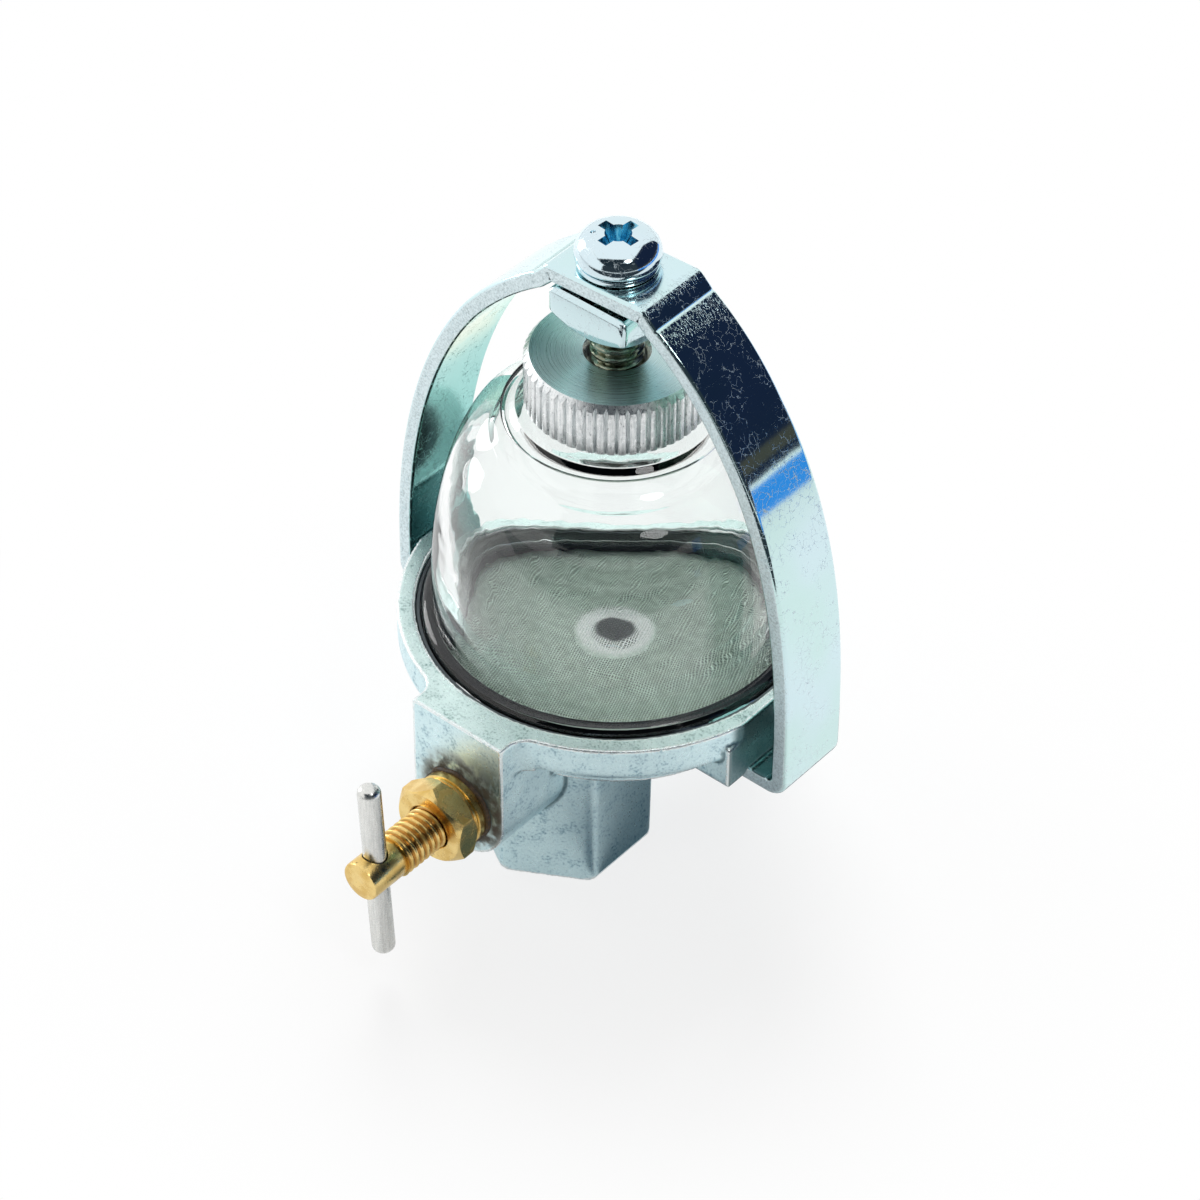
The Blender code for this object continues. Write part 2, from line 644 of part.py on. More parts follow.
def build_screw(frame, finishes):
    """Round-headed screw with a cross recess, upside down through the crown of the bail."""
    dome = [(0, SCREW_HEAD_HEIGHT)]
    for step in range(CURVE_STEPS + 1):
        angle = pi / 2 * (1 - step / CURVE_STEPS)
        radius = SCREW_HEAD_FLAT_RADIUS + (SCREW_HEAD_RADIUS - SCREW_HEAD_FLAT_RADIUS) * cos(angle)
        dome.append((radius, SCREW_HEAD_EDGE + (SCREW_HEAD_HEIGHT - SCREW_HEAD_EDGE) * sin(angle)))
    tip = SCREW_TIP - HEAD_BOTTOM
    shank = [
        (SCREW_HEAD_RADIUS, 0),
        (SCREW_RADIUS, 0),
        (SCREW_RADIUS, tip + SCREW_TIP_CHAMFER),
        (SCREW_RADIUS - SCREW_TIP_CHAMFER, tip),
    ]
    outline = dome + shank + [(0, tip)]
    at_head = (0, 0, HEAD_BOTTOM)
    screw = object_from("clamp_screw", turned(outline, COARSE_SEGMENTS), frame, finishes["plated"], at_head)
    floor = HEAD_BOTTOM + SCREW_HEAD_HEIGHT - RECESS_DEPTH
    ceiling = HEAD_BOTTOM + 2 * SCREW_HEAD_HEIGHT
    half_long = RECESS_LENGTH / 2
    half_wide = RECESS_WIDTH / 2
    slots = (("recess_x_cutter", half_long, half_wide), ("recess_y_cutter", half_wide, half_long))
    for name, half_x, half_y in slots:
        slot = prism(box_outline(-half_x, half_x, -half_y, half_y), floor, ceiling)
        combine(screw, object_from(name, slot, frame), "DIFFERENCE")


def build_lock_washer(frame, finishes):
    inner = SCREW_RADIUS + FIT_GAP
    outer = inner + WASHER_WIDTH
    ring = [(inner, WASHER_TOP), (outer, WASHER_TOP), (outer, WASHER_BOTTOM), (inner, WASHER_BOTTOM)]
    washer = object_from("lock_washer", turned(ring, COARSE_SEGMENTS), frame, finishes["plated"])
    half = WASHER_SPLIT / 2
    below = WASHER_BOTTOM - WASHER_THICKNESS
    slit = prism(box_outline(0, 2 * outer, -half, half), below, WASHER_TOP + WASHER_THICKNESS)
    combine(washer, object_from("washer_split_cutter", slit, frame), "DIFFERENCE")


def build_square_nut(frame, finishes):
    """Square nut with its lower corners turned off, as a cone leaves them."""
    plan = rounded_polygon(4, SQUARE_NUT_WIDTH / 2, SQUARE_NUT_CORNER, pi / 4)
    blank = prism(plan, SQUARE_NUT_BOTTOM, SQUARE_NUT_TOP)
    nut = object_from("square_nut", blank, frame, finishes["plated"])
    inscribed = SQUARE_NUT_WIDTH / 2
    corner = inscribed * sqrt(2)
    lead = SQUARE_NUT_CHAMFER / 10
    cone = [
        (0, SQUARE_NUT_TOP + SQUARE_NUT_HEIGHT),
        (corner, SQUARE_NUT_TOP + SQUARE_NUT_HEIGHT),
        (corner, SQUARE_NUT_BOTTOM + SQUARE_NUT_CHAMFER),
        (inscribed, SQUARE_NUT_BOTTOM - lead),
        (0, SQUARE_NUT_BOTTOM - lead),
    ]
    cone_guide = object_from("square_nut_cone_guide", turned(cone, COARSE_SEGMENTS), frame)
    combine(nut, cone_guide, "INTERSECT")
    hole_radius = SCREW_RADIUS + FIT_GAP
    below = SQUARE_NUT_BOTTOM - SQUARE_NUT_HEIGHT
    above = SQUARE_NUT_TOP + SQUARE_NUT_HEIGHT
    hole = [(0, above), (hole_radius, above), (hole_radius, below), (0, below)]
    hole_cutter = object_from("square_nut_hole_cutter", turned(hole, COARSE_SEGMENTS), frame)
    combine(nut, hole_cutter, "DIFFERENCE")


def knurl_ring(bm, radius, depth, height):
    """One level of the straight knurl: each tooth has a flat crest, two flanks and a valley."""
    crest_end = KNURL_CREST_SHARE
    valley = (crest_end + KNURL_FLANK_SHARE, 1 - KNURL_FLANK_SHARE)
    ring = []
    for tooth in range(KNURL_TEETH):
        for share, cut in ((0, 0), (crest_end, 0), (valley[0], depth), (valley[1], depth)):
            angle = 2 * pi * (tooth + share) / KNURL_TEETH
            reach = radius - cut
            ring.append(bm.verts.new((reach * cos(angle), reach * sin(angle), height)))
    return ring


def build_thumb_nut(frame, finishes):
    """Knurled nut on the screw's lower end, with a fibre ring let into its underside."""
    bm = bmesh.new()
    top = THUMB_NUT_HEIGHT
    chamfer = THUMB_NUT_CHAMFER
    face_radius = THUMB_NUT_RADIUS - chamfer
    levels = [
        knurl_ring(bm, face_radius, 0, 0),
        knurl_ring(bm, THUMB_NUT_RADIUS, KNURL_DEPTH, chamfer),
        knurl_ring(bm, THUMB_NUT_RADIUS, KNURL_DEPTH, top - chamfer),
        knurl_ring(bm, face_radius, 0, top),
    ]
    count = len(levels[0])
    for low, high in zip(levels, levels[1:]):
        for index in range(count):
            after = (index + 1) % count
            bm.faces.new((low[index], low[after], high[after], high[index]))
    bm.faces.new(levels[0])
    bm.faces.new(levels[-1])
    place = (0, 0, THUMB_NUT_BOTTOM)
    nut = object_from("thumb_nut", bm, frame, finishes["machined"], place)
    hole_radius = SCREW_RADIUS + FIT_GAP
    recess_radius = PAD_RADIUS + FIT_GAP
    bore = [
        (0, 2 * top),
        (hole_radius, 2 * top),
        (hole_radius, PAD_RECESS_DEPTH),
        (recess_radius, PAD_RECESS_DEPTH),
        (recess_radius, -top),
        (0, -top),
    ]
    bore_mesh = turned(bore, COARSE_SEGMENTS)
    combine(nut, object_from("thumb_nut_cutter", bore_mesh, frame, None, place), "DIFFERENCE")
    pad = [
        (hole_radius, PAD_THICKNESS),
        (PAD_RADIUS, PAD_THICKNESS),
        (PAD_RADIUS, 0),
        (hole_radius, 0),
    ]
    pad_place = (0, 0, PAD_BOTTOM)
    object_from("pressure_pad", turned(pad, COARSE_SEGMENTS), frame, finishes["fibre"], pad_place)


def build_bonnet(valve_axis, finishes):
    """Brass hexagon with both ends chamfered, a round collar and a shank that screws into the block."""
    bore = STEM_THREAD_RADIUS + FIT_GAP
    middle = BONNET_HEX_START + BONNET_HEX_LENGTH / 2
    barrel = [
        (0, middle),
        (BONNET_COLLAR_RADIUS, middle),
        (BONNET_COLLAR_RADIUS, BONNET_COLLAR_START),
        (BONNET_SHANK_RADIUS, BONNET_COLLAR_START),
        (BONNET_SHANK_RADIUS, BONNET_SHANK_START),
        (0, BONNET_SHANK_START),
    ]
    corner = BONNET_ACROSS_FLATS / 2 / cos(pi / 6)
    plan = []
    for side in range(6):
        angle = pi / 6 + pi / 3 * side
        plan.append((corner * cos(angle), corner * sin(angle)))
    hexagon = object_from("bonnet_hex_guide", prism(plan, BONNET_HEX_START, BONNET_FACE), valve_axis)
    slope = (corner - BONNET_HEX_FACE_RADIUS) / BONNET_HEX_CHAMFER
    ridge = BONNET_HEX_FACE_RADIUS + slope * BONNET_HEX_LENGTH / 2
    tip = BONNET_HEX_FACE_RADIUS - slope * BONNET_HEX_CHAMFER
    cone = [
        (0, BONNET_FACE + BONNET_HEX_CHAMFER),
        (tip, BONNET_FACE + BONNET_HEX_CHAMFER),
        (ridge, middle),
        (tip, BONNET_HEX_START - BONNET_HEX_CHAMFER),
        (0, BONNET_HEX_START - BONNET_HEX_CHAMFER),
    ]
    # Half a step of turn keeps the cone's edges off the collar's edges and the hexagon's corners.
    half_step = (0, 0, pi / COARSE_SEGMENTS)
    cone_mesh = turned(cone, COARSE_SEGMENTS)
    cone_guide = object_from("bonnet_cone_guide", cone_mesh, valve_axis, rotation=half_step)
    combine(hexagon, cone_guide, "INTERSECT")
    bonnet = object_from("valve_bonnet", turned(barrel, COARSE_SEGMENTS), valve_axis, finishes["brass"])
    combine(bonnet, hexagon, "UNION")
    through = [(0, 2 * BONNET_FACE), (bore, 2 * BONNET_FACE), (bore, 0), (0, 0)]
    bore_mesh = turned(through, COARSE_SEGMENTS)
    combine(bonnet, object_from("bonnet_bore_cutter", bore_mesh, valve_axis), "DIFFERENCE")


def build_packing(valve_axis, finishes):
    inner = STEM_RADIUS + FIT_GAP
    outer = BONNET_HOLE_RADIUS - FIT_GAP
    rings = (
        ("inner_packing_washer", INNER_WASHER_START, PACKING_WASHER_THICKNESS, "brass"),
        ("stem_packing", PACKING_START, PACKING_LENGTH, "rubber"),
        ("outer_packing_washer", OUTER_WASHER_START, PACKING_WASHER_THICKNESS, "brass"),
    )
    for name, start, length, finish in rings:
        ring = [(inner, start + length), (outer, start + length), (outer, start), (inner, start)]
        object_from(name, turned(ring, COARSE_SEGMENTS), valve_axis, finishes[finish])


def build_seat_and_needle(valve_axis, finishes):
    """Seat insert at the end of the stem's bore, and the needle that closes it."""
    seat_outer = STEM_BORE_RADIUS - FIT_GAP
    mouth = NEEDLE_RADIUS - NEEDLE_SLOPE * NEEDLE_LEAD + SEAT_GAP
    throat = mouth - NEEDLE_SLOPE * SEAT_LENGTH
    seat = [
        (mouth, SEAT_OUTER_END),
        (seat_outer, SEAT_OUTER_END),
        (seat_outer, SEAT_INNER_END),
        (throat, SEAT_INNER_END),
    ]
    object_from("valve_seat", turned(seat, COARSE_SEGMENTS), valve_axis, finishes["brass"])
    tip = NEEDLE_BACK - NEEDLE_CONE_LENGTH
    needle = [
        (0, NEEDLE_BACK + NEEDLE_TANG_LENGTH),
        (NEEDLE_TANG_RADIUS, NEEDLE_BACK + NEEDLE_TANG_LENGTH),
        (NEEDLE_TANG_RADIUS, NEEDLE_BACK),
        (NEEDLE_RADIUS, NEEDLE_BACK),
        (NEEDLE_TIP_RADIUS, tip),
        (0, tip),
    ]
    object_from("valve_needle", turned(needle, COARSE_SEGMENTS), valve_axis, finishes["steel"])


def build_stem(valve_axis, finishes):
    """Valve stem with a socket for the needle in its nose, and the cross pin that turns it."""
    socket = NEEDLE_TANG_RADIUS + FIT_GAP
    socket_end = STEM_NOSE_END + NEEDLE_TANG_LENGTH
    nose_back = STEM_NOSE_END + STEM_NOSE_LENGTH
    outline = [
        (0, STEM_END),
        (STEM_RADIUS - STEM_END_CHAMFER, STEM_END),
        (STEM_RADIUS, STEM_END - STEM_END_CHAMFER),
        (STEM_RADIUS, STEM_THREAD_END),
        (STEM_THREAD_RADIUS, STEM_THREAD_END - (STEM_THREAD_RADIUS - STEM_RADIUS)),
        (STEM_THREAD_RADIUS, STEM_THREAD_START),
        (STEM_RADIUS, STEM_THREAD_START),
        (STEM_RADIUS, nose_back + (STEM_RADIUS - STEM_NOSE_RADIUS)),
        (STEM_NOSE_RADIUS, nose_back),
        (STEM_NOSE_RADIUS, STEM_NOSE_END),
        (socket, STEM_NOSE_END),
        (socket, socket_end),
        (0, socket_end),
    ]
    stem = object_from("valve_stem", turned(outline, COARSE_SEGMENTS), valve_axis, finishes["brass"])
    pin_axis = empty("pin_axis", valve_axis, (0, 0, PIN_PLACE), (-pi / 2, 0, PIN_LEAN))
    hole_radius = PIN_RADIUS + FIT_GAP / 2
    half = PIN_LENGTH / 2
    hole = [(0, half), (hole_radius, half), (hole_radius, -half), (0, -half)]
    combine(stem, object_from("pin_hole_cutter", turned(hole, COARSE_SEGMENTS), pin_axis), "DIFFERENCE")
    top = arc(PIN_RADIUS - PIN_END_ROUND, half - PIN_END_ROUND, PIN_END_ROUND, pi / 2, 0, EDGE_STEPS)
    bottom = arc(PIN_RADIUS - PIN_END_ROUND, PIN_END_ROUND - half, PIN_END_ROUND, 0, -pi / 2, EDGE_STEPS)
    pin = [(0, half)] + top + bottom + [(0, -half)]
    object_from("handle_pin", turned(pin, COARSE_SEGMENTS), pin_axis, finishes["steel"])


def make_finishes():
    return {
        "casting": material("casting", (0.62, 0.66, 0.66), 0.45, 0.9),
        "plated": material("plated", (0.72, 0.80, 0.82), 0.18, 1.0),
        "machined": material("machined", (0.74, 0.76, 0.76), 0.28, 1.0),
        "brass": material("brass", (0.83, 0.62, 0.25), 0.22, 1.0),
        "steel": material("steel", (0.66, 0.65, 0.63), 0.30, 1.0),
        "tin": material("tin", (0.70, 0.71, 0.70), 0.35, 1.0),
        "wire": material("wire", (0.50, 0.53, 0.49), 0.50, 0.7),
        "rubber": material("rubber", (0.02, 0.02, 0.02), 0.60, 0.0),
        "fibre": material("fibre", (0.28, 0.12, 0.07), 0.80, 0.0),
        "glass": material("glass", (0.95, 0.98, 0.97), 0.02, 0.0, 1.0),
    }


def main():
    clear_scene()
    finishes = make_finishes()
    frame = empty("head_frame", None, (0, HEX_OFFSET, BODY_HEIGHT))
    valve_axis = empty("valve_axis", frame, (0, 0, -VALVE_AXIS_DEPTH), (pi / 2, 0, 0))
    build_body(frame, valve_axis, finishes["casting"])
    build_bowl_stack(frame, finishes)
    build_bail(frame, finishes)
    build_thumb_nut(frame, finishes)
    build_bonnet(valve_axis, finishes)
    build_packing(valve_axis, finishes)
    build_seat_and_needle(valve_axis, finishes)
    build_stem(valve_axis, finishes)


main()
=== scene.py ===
"""Dresses the glass-bowl strainer filter: cast head, glass bowl, strap bail, knurled nut and needle valve.

Shapes are made in millimetres about the bowl's axis, with heights counted from the top of the casting's rim.
TO_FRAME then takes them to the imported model's frame.
"""

import json
from math import asin, atan2, cos, floor, hypot, pi, radians, sin, sqrt, tan

import bmesh
import bpy
import numpy
from mathutils import Euler, Matrix, Vector, noise

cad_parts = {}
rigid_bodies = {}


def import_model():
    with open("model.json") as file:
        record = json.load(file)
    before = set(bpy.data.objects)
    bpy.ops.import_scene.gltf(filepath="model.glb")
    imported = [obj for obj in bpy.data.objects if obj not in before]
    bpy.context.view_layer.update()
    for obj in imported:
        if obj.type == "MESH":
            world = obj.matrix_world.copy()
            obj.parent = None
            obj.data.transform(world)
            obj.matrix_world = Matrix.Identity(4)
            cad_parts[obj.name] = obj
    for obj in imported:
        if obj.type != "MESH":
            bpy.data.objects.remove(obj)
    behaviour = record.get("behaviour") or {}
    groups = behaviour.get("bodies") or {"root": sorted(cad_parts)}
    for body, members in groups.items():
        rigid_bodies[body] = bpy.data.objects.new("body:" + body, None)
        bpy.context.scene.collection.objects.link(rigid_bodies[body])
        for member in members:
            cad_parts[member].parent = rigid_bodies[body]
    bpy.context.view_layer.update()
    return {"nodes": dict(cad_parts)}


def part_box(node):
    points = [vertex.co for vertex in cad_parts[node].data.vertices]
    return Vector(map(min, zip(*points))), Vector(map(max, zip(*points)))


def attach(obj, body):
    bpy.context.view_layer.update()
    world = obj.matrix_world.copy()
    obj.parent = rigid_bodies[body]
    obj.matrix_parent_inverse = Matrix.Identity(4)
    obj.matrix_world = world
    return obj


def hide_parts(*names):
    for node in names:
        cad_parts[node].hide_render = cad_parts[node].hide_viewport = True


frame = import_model()

MM = 0.001
bowl_low, bowl_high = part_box("glass_bowl")
AXIS_Y = (bowl_low.y + bowl_high.y) / 2
RIM_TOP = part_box("body_casting")[1].z
TO_FRAME = Matrix.Translation((0, AXIS_Y, RIM_TOP)) @ Matrix.Scale(MM, 4)

# Casting sizes
BODY_HEIGHT = 29.3
RIM_RADIUS = 25.7
RIM_INNER = 23.5
RIM_HEIGHT = 5.0
RIM_ROUND = 1.5
SEAT_DEPTH = 4.7
LEDGE_RADIUS = 19.0
GALLERY_FLOOR = -7.3
CUP_UNDERSIDE = -9.9
SKIRT_RADIUS = 20.5
RISER_RADIUS = 2.65
RISER_BOSS = 5.05
FLAT_X = 24.9
PAD_UNDERSIDE = -7.9
PAD_LENGTH = 5.6
LUG_DROP = 0.5
LUG_START = 5.7
LUG_THICKNESS = 3.4
BLOCK_HALF = 6.8
BLOCK_REACH = 28.1
BLOCK_FILLET = 2.6
VALVE_DEPTH = 12.5
HEX_FLATS = 19.0
HEX_CORNER = 1.6
HEX_DRAFT = 1.03
HEX_OFFSET = 9.6

# Bowl and strap sizes
BOWL_BOTTOM = -2.3
BOWL_TOP = 30.4
BOWL_RADIUS = 21.55
BEAD_RADIUS = 22.9
MOUTH_RADIUS = 19.25
CROWN_FLAT = 11.8
DOME_FOOT = 4.6
SCREEN_LEVEL = -4.22
SCREEN_RADIUS = 20.3
STRAP_TOP = 49.845
STRAP_THICKNESS = 2.1
STRAP_HALF_WIDTH = 5.1
SCREW_RADIUS = 3.1
SCREW_PITCH = 1.27
SCREW_HOLE = 3.4
HEAD_BOTTOM = 51.445
SCREW_TIP = 32.55

# Nut sizes
NUT_BOTTOM = 31.05
NUT_HEIGHT = 7.0
NUT_RADIUS = 10.6
NUT_TEETH = 54
SQUARE_BOTTOM = 42.895
SQUARE_TOP = 47.495
SQUARE_HALF = 5.55

# Valve sizes, along the valve's axis
BONNET_START = 28.35
BONNET_HEX_START = 29.9
BONNET_FACE = 33.2
BONNET_END = 22.45
STEM_END = 44.9
THREAD_END = 39.4
PIN_PLACE = 42.1
PIN_RADIUS = 1.4
PIN_HALF = 12.7
PIN_LEAN = radians(3.3)

VALVE = Matrix.Translation((0, 0, -VALVE_DEPTH)) @ Matrix.Rotation(pi / 2, 4, "X")
PIN = VALVE @ Matrix.Translation((0, 0, PIN_PLACE)) @ Euler((-pi / 2, 0, PIN_LEAN)).to_matrix().to_4x4()

# Stage places, in the frame's metres
FOOT = Vector((0, AXIS_Y, 0))
TARGET = Vector((0, AXIS_Y, 0.04))
UPRIGHT = Vector((0, 0, 1))
WHITE = (1.0, 1.0, 1.0)


def lathe(profile, segments, shape=None):
    """Vertices and faces of a closed outline of (radius, height) points turned about Z.

    shape, if given, takes a radius, a height and an angle, and returns the radius and height to use there."""
    verts = []
    rings = []
    faces = []
    for radius, height in profile:
        start = len(verts)
        if radius == 0:
            verts.append((0, 0, height))
            rings.append([start])
            continue
        for step in range(segments):
            angle = 2 * pi * step / segments
            at_radius, at_height = shape(radius, height, angle) if shape else (radius, height)
            verts.append((at_radius * cos(angle), at_radius * sin(angle), at_height))
        rings.append(range(start, start + segments))
    for first, second in zip(rings, rings[1:] + rings[:1]):
        if len(first) == 1 and len(second) == 1:
            continue
        for step in range(segments):
            after = (step + 1) % segments
            corners = [first[step % len(first)], first[after % len(first)]]
            corners += [second[after % len(second)], second[step % len(second)]]
            faces.append(list(dict.fromkeys(corners)))
    return verts, faces


def raised(base, points):
    """Outline points whose heights are counted from a base."""
    return [(radius, base + height) for radius, height in points]


def rod(*steps):
    """Outline for lathe() of a stepped rod, from the (radius, start, end) of each step."""
    sides = [(radius, height) for radius, *ends in steps for height in ends]
    return [(0, sides[0][1])] + sides + [(0, sides[-1][1])]


def tube_faces(count, sections, start=0):
    """Faces of a capped tube through sections of count vertices each."""
    last = start + count * (sections - 1)
    faces = [list(range(start, start + count)), list(range(last, last + count))]
    for low in range(start, last, count):
        for step in range(count):
            after = (step + 1) % count
            faces.append([low + step, low + after, low + count + after, low + count + step])
    return faces


def prism(outline, low, high, top_scale=1.0, center=(0, 0)):
    """Vertices and faces of a closed outline of (x, y) points stretched from low to high."""
    verts = [(x, y, low) for x, y in outline]
    for x, y in outline:
        verts.append((center[0] + (x - center[0]) * top_scale, center[1] + (y - center[1]) * top_scale, high))
    return verts, tube_faces(len(outline), 2)


def rectangle(x_low, x_high, y_low, y_high):
    return [(x_low, y_low), (x_high, y_low), (x_high, y_high), (x_low, y_high)]


def arc(center_x, center_y, radius, start, end, steps, rise=None):
    """Points along an arc, or along an ellipse where its rise differs from its radius."""
    points = []
    for step in range(steps + 1):
        angle = start + (end - start) * step / steps
        points.append((center_x + radius * cos(angle), center_y + (rise or radius) * sin(angle)))
    return points


def rounded(corners, steps=4):
    """Outline points from (x, y, radius) corners, each corner rounded by its radius."""
    line = []
    for index, (x, y, radius) in enumerate(corners):
        corner = Vector((x, y))
        if radius == 0:
            line.append((x, y))
            continue
        back = (Vector(corners[index - 1][:2]) - corner).normalized()
        ahead = (Vector(corners[(index + 1) % len(corners)][:2]) - corner).normalized()
        half = back.angle(ahead) / 2
        center = corner + (back + ahead).normalized() * (radius / sin(half))
        start = corner + back * (radius / tan(half)) - center
        end = corner + ahead * (radius / tan(half)) - center
        for step in range(steps + 1):
            share = step / steps
            point = center + (start * (1 - share) + end * share).normalized() * radius
            line.append((point.x, point.y))
    return line


def polygon_radius(angle, sides, inradius, corner_round, first_corner):
    """Distance from the middle to the side of a rounded polygon, at an angle."""
    half = pi / sides
    off = (angle - first_corner + half) % (2 * half) - half
    reach = (inradius - corner_round) / cos(half)
    tangent = atan2(corner_round * sin(half), reach + corner_round * cos(half))
    if abs(off) <= tangent:
        return reach * cos(off) + sqrt(max(corner_round ** 2 - (reach * sin(off)) ** 2, 0))
    return inradius / cos(half - abs(off))


def polygon(sides, inradius, corner_round, first_corner, center, steps=6):
    """Outline points of a polygon with rounded corners."""
    outline = []
    half = pi / sides
    reach = (inradius - corner_round) / cos(half)
    for side in range(sides):
        corner = first_corner + 2 * half * side
        at_x = center[0] + reach * cos(corner)
        at_y = center[1] + reach * sin(corner)
        outline += arc(at_x, at_y, corner_round, corner - half, corner + half, steps)
    return outline


def clamped(share):
    return min(max(share, 0), 1)


def eased(share):
    """A share from 0 to 1 that starts and ends gently."""
    share = clamped(share)
    return share * share * (3 - 2 * share)


def linked(name, data):
    """A new object in the scene."""
    made = bpy.data.objects.new(name, data)
    bpy.context.scene.collection.objects.link(made)
    return made


def raw_object(name, shape, matrix=Matrix()):
    """An object from (vertices, faces), with its faces turned outwards."""
    mesh = bpy.data.meshes.new(name)
    mesh.from_pydata(shape[0], [], shape[1])
    mesh.transform(matrix)
    bm = bmesh.new()
    bm.from_mesh(mesh)
    bmesh.ops.recalc_face_normals(bm, faces=bm.faces)
    bm.to_mesh(mesh)
    bm.free()
    return linked(name, mesh)


def combined(base, tools, operation):
    """Add one Boolean to base that takes all the tools at once."""
    group = bpy.data.collections.new(base.name + "_" + operation.lower())
    bpy.context.scene.collection.children.link(group)
    for tool in tools:
        bpy.context.scene.collection.objects.unlink(tool)
        group.objects.link(tool)
    change = base.modifiers.new(operation, "BOOLEAN")
    change.operation = operation
    change.solver = "EXACT"
    change.operand_type = "COLLECTION"
    change.collection = group
    return group


def settled(made, groups):
    """Replace an object's mesh by what its modifiers make of it, and clear the tools away."""
    bpy.context.view_layer.update()
    mesh = bpy.data.meshes.new_from_object(made.evaluated_get(bpy.context.evaluated_depsgraph_get()))
    made.modifiers.clear()
    made.data = mesh
    for group in groups:
        for tool in list(group.objects):
            bpy.data.objects.remove(tool, do_unlink=True)
        bpy.data.collections.remove(group)
    return made


def carved(made, *tools):
    """Cut the tools out of an object."""
    return settled(made, [combined(made, tools, "DIFFERENCE")])


def dress(made, finishes, body, slot, *nodes, sharp=40):
    """Take an object to the frame, give it its finish and body, and let it stand for its CAD nodes."""
    made.data.transform(TO_FRAME)
    for finish in finishes if isinstance(finishes, list) else [finishes]:
        made.data.materials.append(finish)
    made.data.shade_smooth()
    made.data.set_sharp_from_angle(angle=radians(sharp))
    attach(made, body)
    if nodes:
        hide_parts(*nodes)
    return made


def mark_edges(made):
    """Store how sharply an object's surface is bent, in 1/mm: above 0 on outer edges, below 0 in corners."""
    def read(items, key, width, kind=float):
        values = numpy.empty(len(items) * width, dtype=kind)
        items.foreach_get(key, values)
        return values.reshape(-1, width)

    mesh = made.data
    count = len(mesh.vertices)
    places, normals = read(mesh.vertices, "co", 3), read(mesh.vertices, "normal", 3)
    ends = read(mesh.edges, "vertices", 2, numpy.int32)
    here, there = numpy.concatenate([ends, ends[:, ::-1]]).T
    step = places[here] - places[there]
    bend = 2 * (step * normals[here]).sum(1) / numpy.maximum((step * step).sum(1), 1e-6)
    share = numpy.maximum(numpy.bincount(here, minlength=count), 1)
    bend = numpy.bincount(here, bend, count) / share
    for _ in range(2):
        bend = 0.5 * bend + 0.5 * numpy.bincount(here, bend[there], count) / share
    mesh.attributes.new("bend", "FLOAT", "POINT").data.foreach_set("value", bend.astype(numpy.float32))


class Nodes:
    """A node tree, built node by node."""

    def __init__(self, tree):
        self.tree = tree

    def plug(self, node, key, value):
        socket = node.inputs[key]
        if isinstance(value, bpy.types.NodeSocket):
            self.tree.links.new(value, socket)
        elif socket.type == "RGBA":
            socket.default_value = (*value, 1.0)
        else:
            socket.default_value = value

    def add(self, kind, sockets=None, **settings):
        node = self.tree.nodes.new(kind)
        for key, value in settings.items():
            setattr(node, key, value)
        for key, value in (sockets or {}).items():
            self.plug(node, key, value)
        return node

    def math(self, operation, first, second):
        return self.add("ShaderNodeMath", {0: first, 1: second}, operation=operation).outputs[0]

    def plus(self, first, second):
        return self.math("ADD", first, second)

    def times(self, first, *others):
        for other in others:
            first = self.math("MULTIPLY", first, other)
        return first

    def show(self, share, first, second, output="Material Output"):
        """Give out two shader nodes, mixed by a share of the second."""
        mixed = self.add("ShaderNodeMixShader", {0: share, 1: first.outputs[0], 2: second.outputs[0]})
        self.plug(self.tree.nodes[output], "Surface", mixed.outputs[0])


